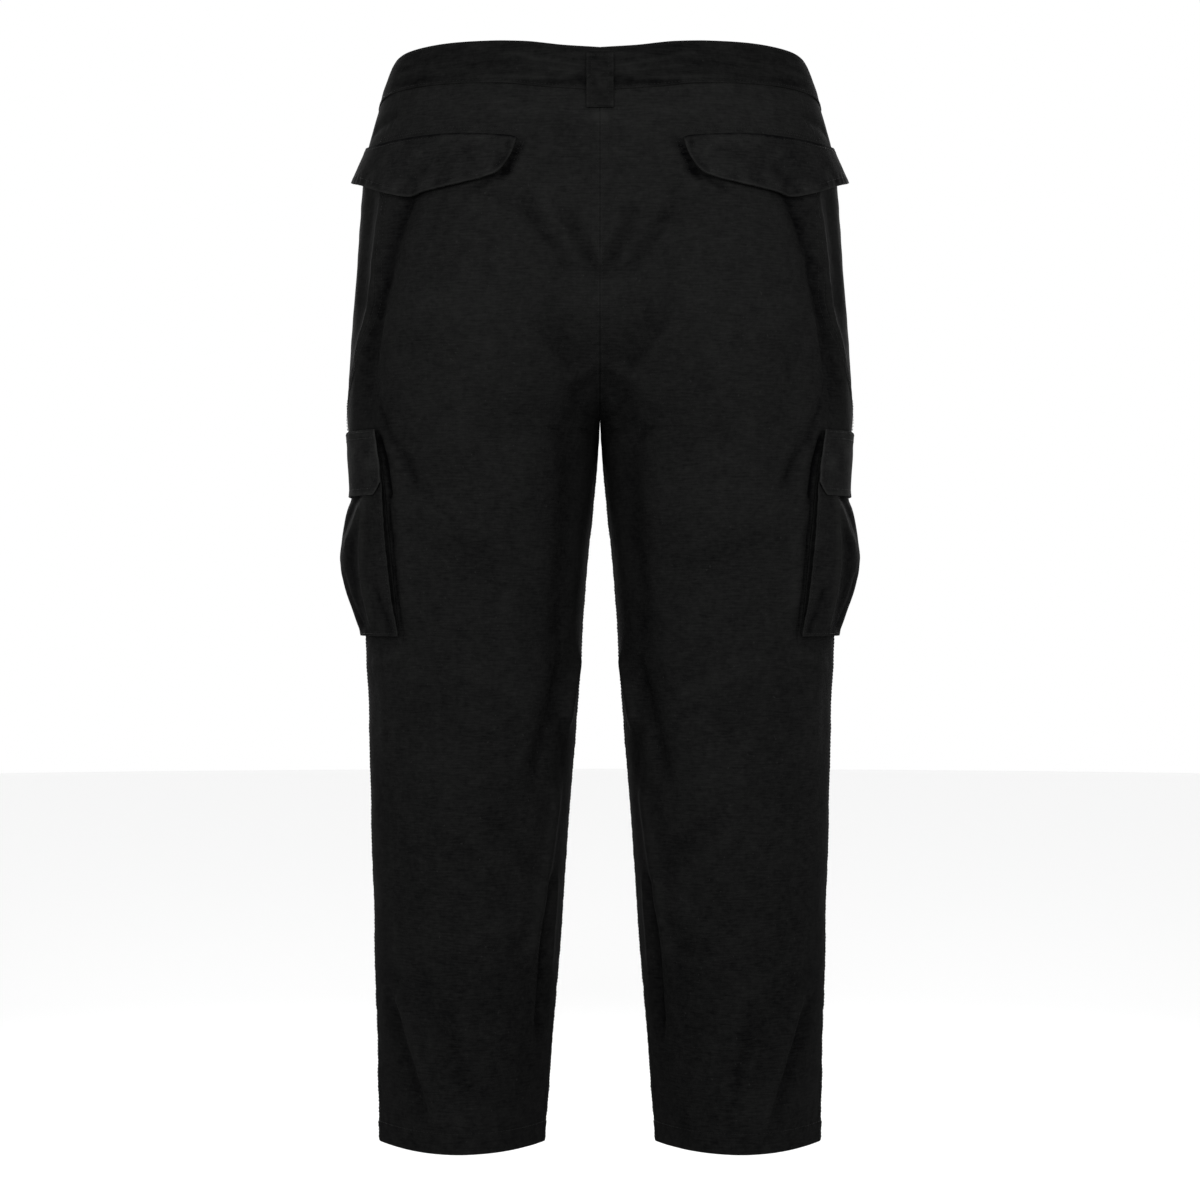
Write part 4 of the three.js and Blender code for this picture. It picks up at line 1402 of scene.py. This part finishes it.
class TROUSERS_OT_button(bpy.types.Operator):
    """Makes the waist button, with four sewn holes"""

    bl_idname = "trousers.button"
    bl_label = "Waist button"

    def execute(self, context):
        _, colours = owned(context)
        low, high = (Vector(corner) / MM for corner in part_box("waist_button"))
        centre, radius = (low + high) / 2, (high.x - low.x) / 2
        thickness = high.y - low.y
        inner = radius - BUTTON_RIM - BUTTON_DISH
        bm = bmesh.new()
        self.rim(bm, radius, inner, thickness)
        holes = [self.plate(bm, inner, depth) for depth in (0, thickness - BUTTON_DISH)]
        for behind, ahead in zip(*holes):
            bmesh.ops.bridge_loops(bm, edges=behind + ahead)
        bmesh.ops.remove_doubles(bm, verts=bm.verts, dist=0.001)
        bmesh.ops.recalc_face_normals(bm, faces=bm.faces)
        place = Matrix.Translation((centre.x, high.y, centre.z))
        bmesh.ops.transform(bm, matrix=Matrix.Scale(MM, 4) @ place, verts=bm.verts)
        button = as_object("button_moulded", bm, button_material(colours))
        button.data.set_sharp_from_angle(angle=BUTTON_SHARP_FROM)
        belongs(button, "waist_button")
        self.thread(centre, low.y + BUTTON_DISH, colours)
        return {"FINISHED"}

    def rim(self, bm, radius, inner, thickness):
        """The round rim, open in the middle at its back and at the dish's floor."""
        profile = [
            (inner, 0), (radius - BUTTON_ROUND, 0), (radius, BUTTON_ROUND),
            (radius, thickness - BUTTON_ROUND), (radius - BUTTON_ROUND, thickness),
            (radius - BUTTON_RIM, thickness), (inner, thickness - BUTTON_DISH),
        ]
        spots = [bm.verts.new((r, -h, 0)) for r, h in profile]
        edges = [bm.edges.new(pair) for pair in pairwise(spots)]
        bmesh.ops.spin(
            bm,
            geom=spots + edges,
            cent=(0, 0, 0),
            axis=(0, 1, 0),
            angle=math.tau,
            steps=BUTTON_STEPS,
            use_merge=True,
        )
        bmesh.ops.bevel(
            bm,
            geom=[edge for edge in bm.edges if edge.calc_face_angle(0) > BUTTON_BEVEL_FROM],
            offset=BUTTON_EDGE,
            segments=2,
            affect="EDGES",
            profile=0.5,
            material=-1,
        )

    def plate(self, bm, inner, depth):
        """A flat face with four round holes, whose edges are returned."""
        lies = Matrix.Translation((0, -depth, 0)) @ Matrix.Rotation(math.pi / 2, 4, "X")
        rings = []
        for x, z, steps, radius in (
            (0, 0, BUTTON_STEPS, inner),
            *(
                (x, z, BUTTON_HOLE_STEPS, BUTTON_HOLE_RADIUS)
                for x in (-BUTTON_HOLE_REACH, BUTTON_HOLE_REACH)
                for z in (-BUTTON_HOLE_REACH, BUTTON_HOLE_REACH)
            ),
        ):
            spot = lies @ Matrix.Translation((x, z, 0))
            ring = bmesh.ops.create_circle(bm, segments=steps, radius=radius, matrix=spot)
            rings.append(list({edge for vert in ring["verts"] for edge in vert.link_edges}))
        bmesh.ops.triangle_fill(bm, edges=sum(rings, []), use_beauty=True)
        return rings[1:]

    def thread(self, centre, front, colours):
        """Two bars of thread between the holes."""
        bm = bmesh.new()
        for x in (-BUTTON_HOLE_REACH, BUTTON_HOLE_REACH):
            bar = Matrix.Diagonal((0.5, 0.45, BUTTON_HOLE_REACH + 0.4, 1))
            spot = Matrix.Translation((centre.x + x, front - 0.2, centre.z))
            whole = Matrix.Scale(MM, 4) @ spot @ bar
            bmesh.ops.create_icosphere(bm, subdivisions=2, radius=1.0, matrix=whole)
        belongs(as_object("button_thread", bm, thread_material(colours)))


# The stage.

EYE = Vector((0.0, 2.9, -0.495))
FRAME_WIDTH = 1.152
SENSOR = 36.0
FLOOR_RADIUS = 9.0
LIT = (0, 0, -0.28)
LIGHT_SPREAD = math.radians(75)
# Place of the left light and width of each pair.
LIGHT_PAIRS = {"back key": ((1.5, 2.5, 0.25), 0.9), "front fill": ((1.2, -2.7, 0.4), 1.2)}
OVERHEAD = ((0, 2.5, 0.9), 0.9)


def area_light(name, place, width, energy):
    light = bpy.data.lights.new(name, "AREA")
    light.shape = "SQUARE"
    light.size = width
    light.energy = energy
    light.spread = LIGHT_SPREAD
    lamp = bpy.data.objects.new(name, light)
    lamp.location = place
    lamp.rotation_euler = (Vector(LIT) - Vector(place)).to_track_quat("-Z", "Y").to_euler()
    bpy.context.scene.collection.objects.link(lamp)


class TROUSERS_OT_stage(bpy.types.Operator):
    """Makes the pale floor, the soft lights and the camera"""

    bl_idname = "trousers.stage"
    bl_label = "Stage"

    def execute(self, context):
        sizes, colours = owned(context)
        bm = bmesh.new()
        bmesh.ops.create_circle(bm, cap_ends=True, segments=96, radius=FLOOR_RADIUS)
        drop = Matrix.Translation((0, 0, -sizes.floor_drop))
        bmesh.ops.transform(bm, matrix=drop, verts=bm.verts)
        pale = mottled_material(
            "pale floor",
            colours.floor[:],
            shades=None,
            noise=(4.0, 2.0),
            specular=0.1,
            roughness=(0.1, 0.8),
        )
        floor = as_object("floor", bm, pale)

        scene = context.scene
        scene.world = scene.world or bpy.data.worlds.new("studio")
        scene.world.use_nodes = True
        background = scene.world.node_tree.nodes["Background"]
        background.inputs["Color"].default_value = (1, 1, 1, 1)
        background.inputs["Strength"].default_value = 1.0
        scene.view_settings.view_transform = "Standard"
        for side, sign in SIDES.items():
            for name, ((x, y, z), width) in LIGHT_PAIRS.items():
                area_light(f"{name} {side}", (x * sign, y, z), width, sizes.key_power)
        area_light("overhead", *OVERHEAD, sizes.key_power)

        camera = bpy.data.cameras.new("camera")
        camera.sensor_width = SENSOR
        camera.lens = SENSOR * EYE.y / FRAME_WIDTH
        eye = bpy.data.objects.new("camera", camera)
        eye.location = EYE
        eye.rotation_euler = (math.radians(90), 0, math.radians(180))
        scene.collection.objects.link(eye)
        scene.camera = eye
        return {"FINISHED"}


# Settings, panel and main.


def length(name, description, default):
    return FloatProperty(name=name, description=description, default=default, unit="LENGTH")


def colour(name, description, default):
    return FloatVectorProperty(name=name, description=description, default=default, subtype="COLOR")


class TrousersSizes(bpy.types.PropertyGroup):
    leg_cloth: length("Leg cloth", "Thickness of the leg panels", 0.0012)
    band_cloth: length("Waistband cloth", "Thickness of the folded waistband", 0.0024)
    gusset_cloth: length("Gusset cloth", "Thickness of the thigh pockets' gussets", 0.0009)
    hem: length("Hem", "Height that is turned up inside each hem", 0.022)
    allowance: length("Seam allowance", "Cloth turned in past each seam", 0.006)
    stitch_pitch: length("Stitch pitch", "Distance from one stitch to the next", 0.0034)
    stitch_length: length("Stitch length", "Length of a stitch's visible part", 0.0027)
    stitch_width: length("Thread width", "Width of the sewing thread", 0.00055)
    stitch_height: length("Thread height", "Height of the sewing thread", 0.00045)
    floor_drop: length("Floor drop", "Distance of the floor below the waist", 1.16)
    key_power: FloatProperty(
        name="Key power", description="Power of each key light", default=6.0, unit="POWER"
    )


class TrousersColours(bpy.types.PropertyGroup):
    # Deep black also stands for painted shade, and faded black for painted light, where the pieces'
    # tint sends them.
    deep_and_shaded: colour("Deep black", "The twill where it has kept its dye", (0.0010, 0.0010, 0.0011))
    faded_and_lit: colour(
        "Faded black", "The twill where it is washed out and worn", (0.0077, 0.0078, 0.0076)
    )
    thread: colour("Thread", "The topstitching", (0.0040, 0.0040, 0.0040))
    button: colour("Button", "The waist button", (0.0045, 0.0045, 0.0045))
    floor: colour("Floor", "The pale floor", (0.92, 0.92, 0.92))


OPERATORS = (
    TROUSERS_OT_waistband,
    TROUSERS_OT_legs,
    TROUSERS_OT_belt_loops,
    TROUSERS_OT_back_flaps,
    TROUSERS_OT_thigh_pockets,
    TROUSERS_OT_fly,
    TROUSERS_OT_button,
    TROUSERS_OT_stage,
)


class TROUSERS_PT_panel(bpy.types.Panel):
    """Lists the trousers' pieces, sizes and colours"""

    bl_label = "Cargo Trousers"
    bl_idname = "TROUSERS_PT_panel"
    bl_space_type = "VIEW_3D"
    bl_region_type = "UI"
    bl_category = "Trousers"

    def draw(self, context):
        for operator in OPERATORS:
            self.layout.operator(operator.bl_idname)
        for group in owned(context):
            box = self.layout.box()
            for name in group.__annotations__:
                box.prop(group, name)


CLASSES = (TrousersSizes, TrousersColours, *OPERATORS, TROUSERS_PT_panel)


def register():
    for kind in CLASSES:
        bpy.utils.register_class(kind)
    bpy.types.Scene.trousers_sizes = PointerProperty(type=TrousersSizes)
    bpy.types.Scene.trousers_colours = PointerProperty(type=TrousersColours)


def unregister():
    del bpy.types.Scene.trousers_colours
    del bpy.types.Scene.trousers_sizes
    for kind in reversed(CLASSES):
        bpy.utils.unregister_class(kind)


def main():
    register()
    bpy.ops.trousers.waistband()
    bpy.ops.trousers.legs()
    bpy.ops.trousers.belt_loops()
    bpy.ops.trousers.back_flaps()
    bpy.ops.trousers.thigh_pockets()
    bpy.ops.trousers.fly()
    bpy.ops.trousers.button()
    bpy.ops.trousers.stage()


if __name__ == "__main__":
    main()
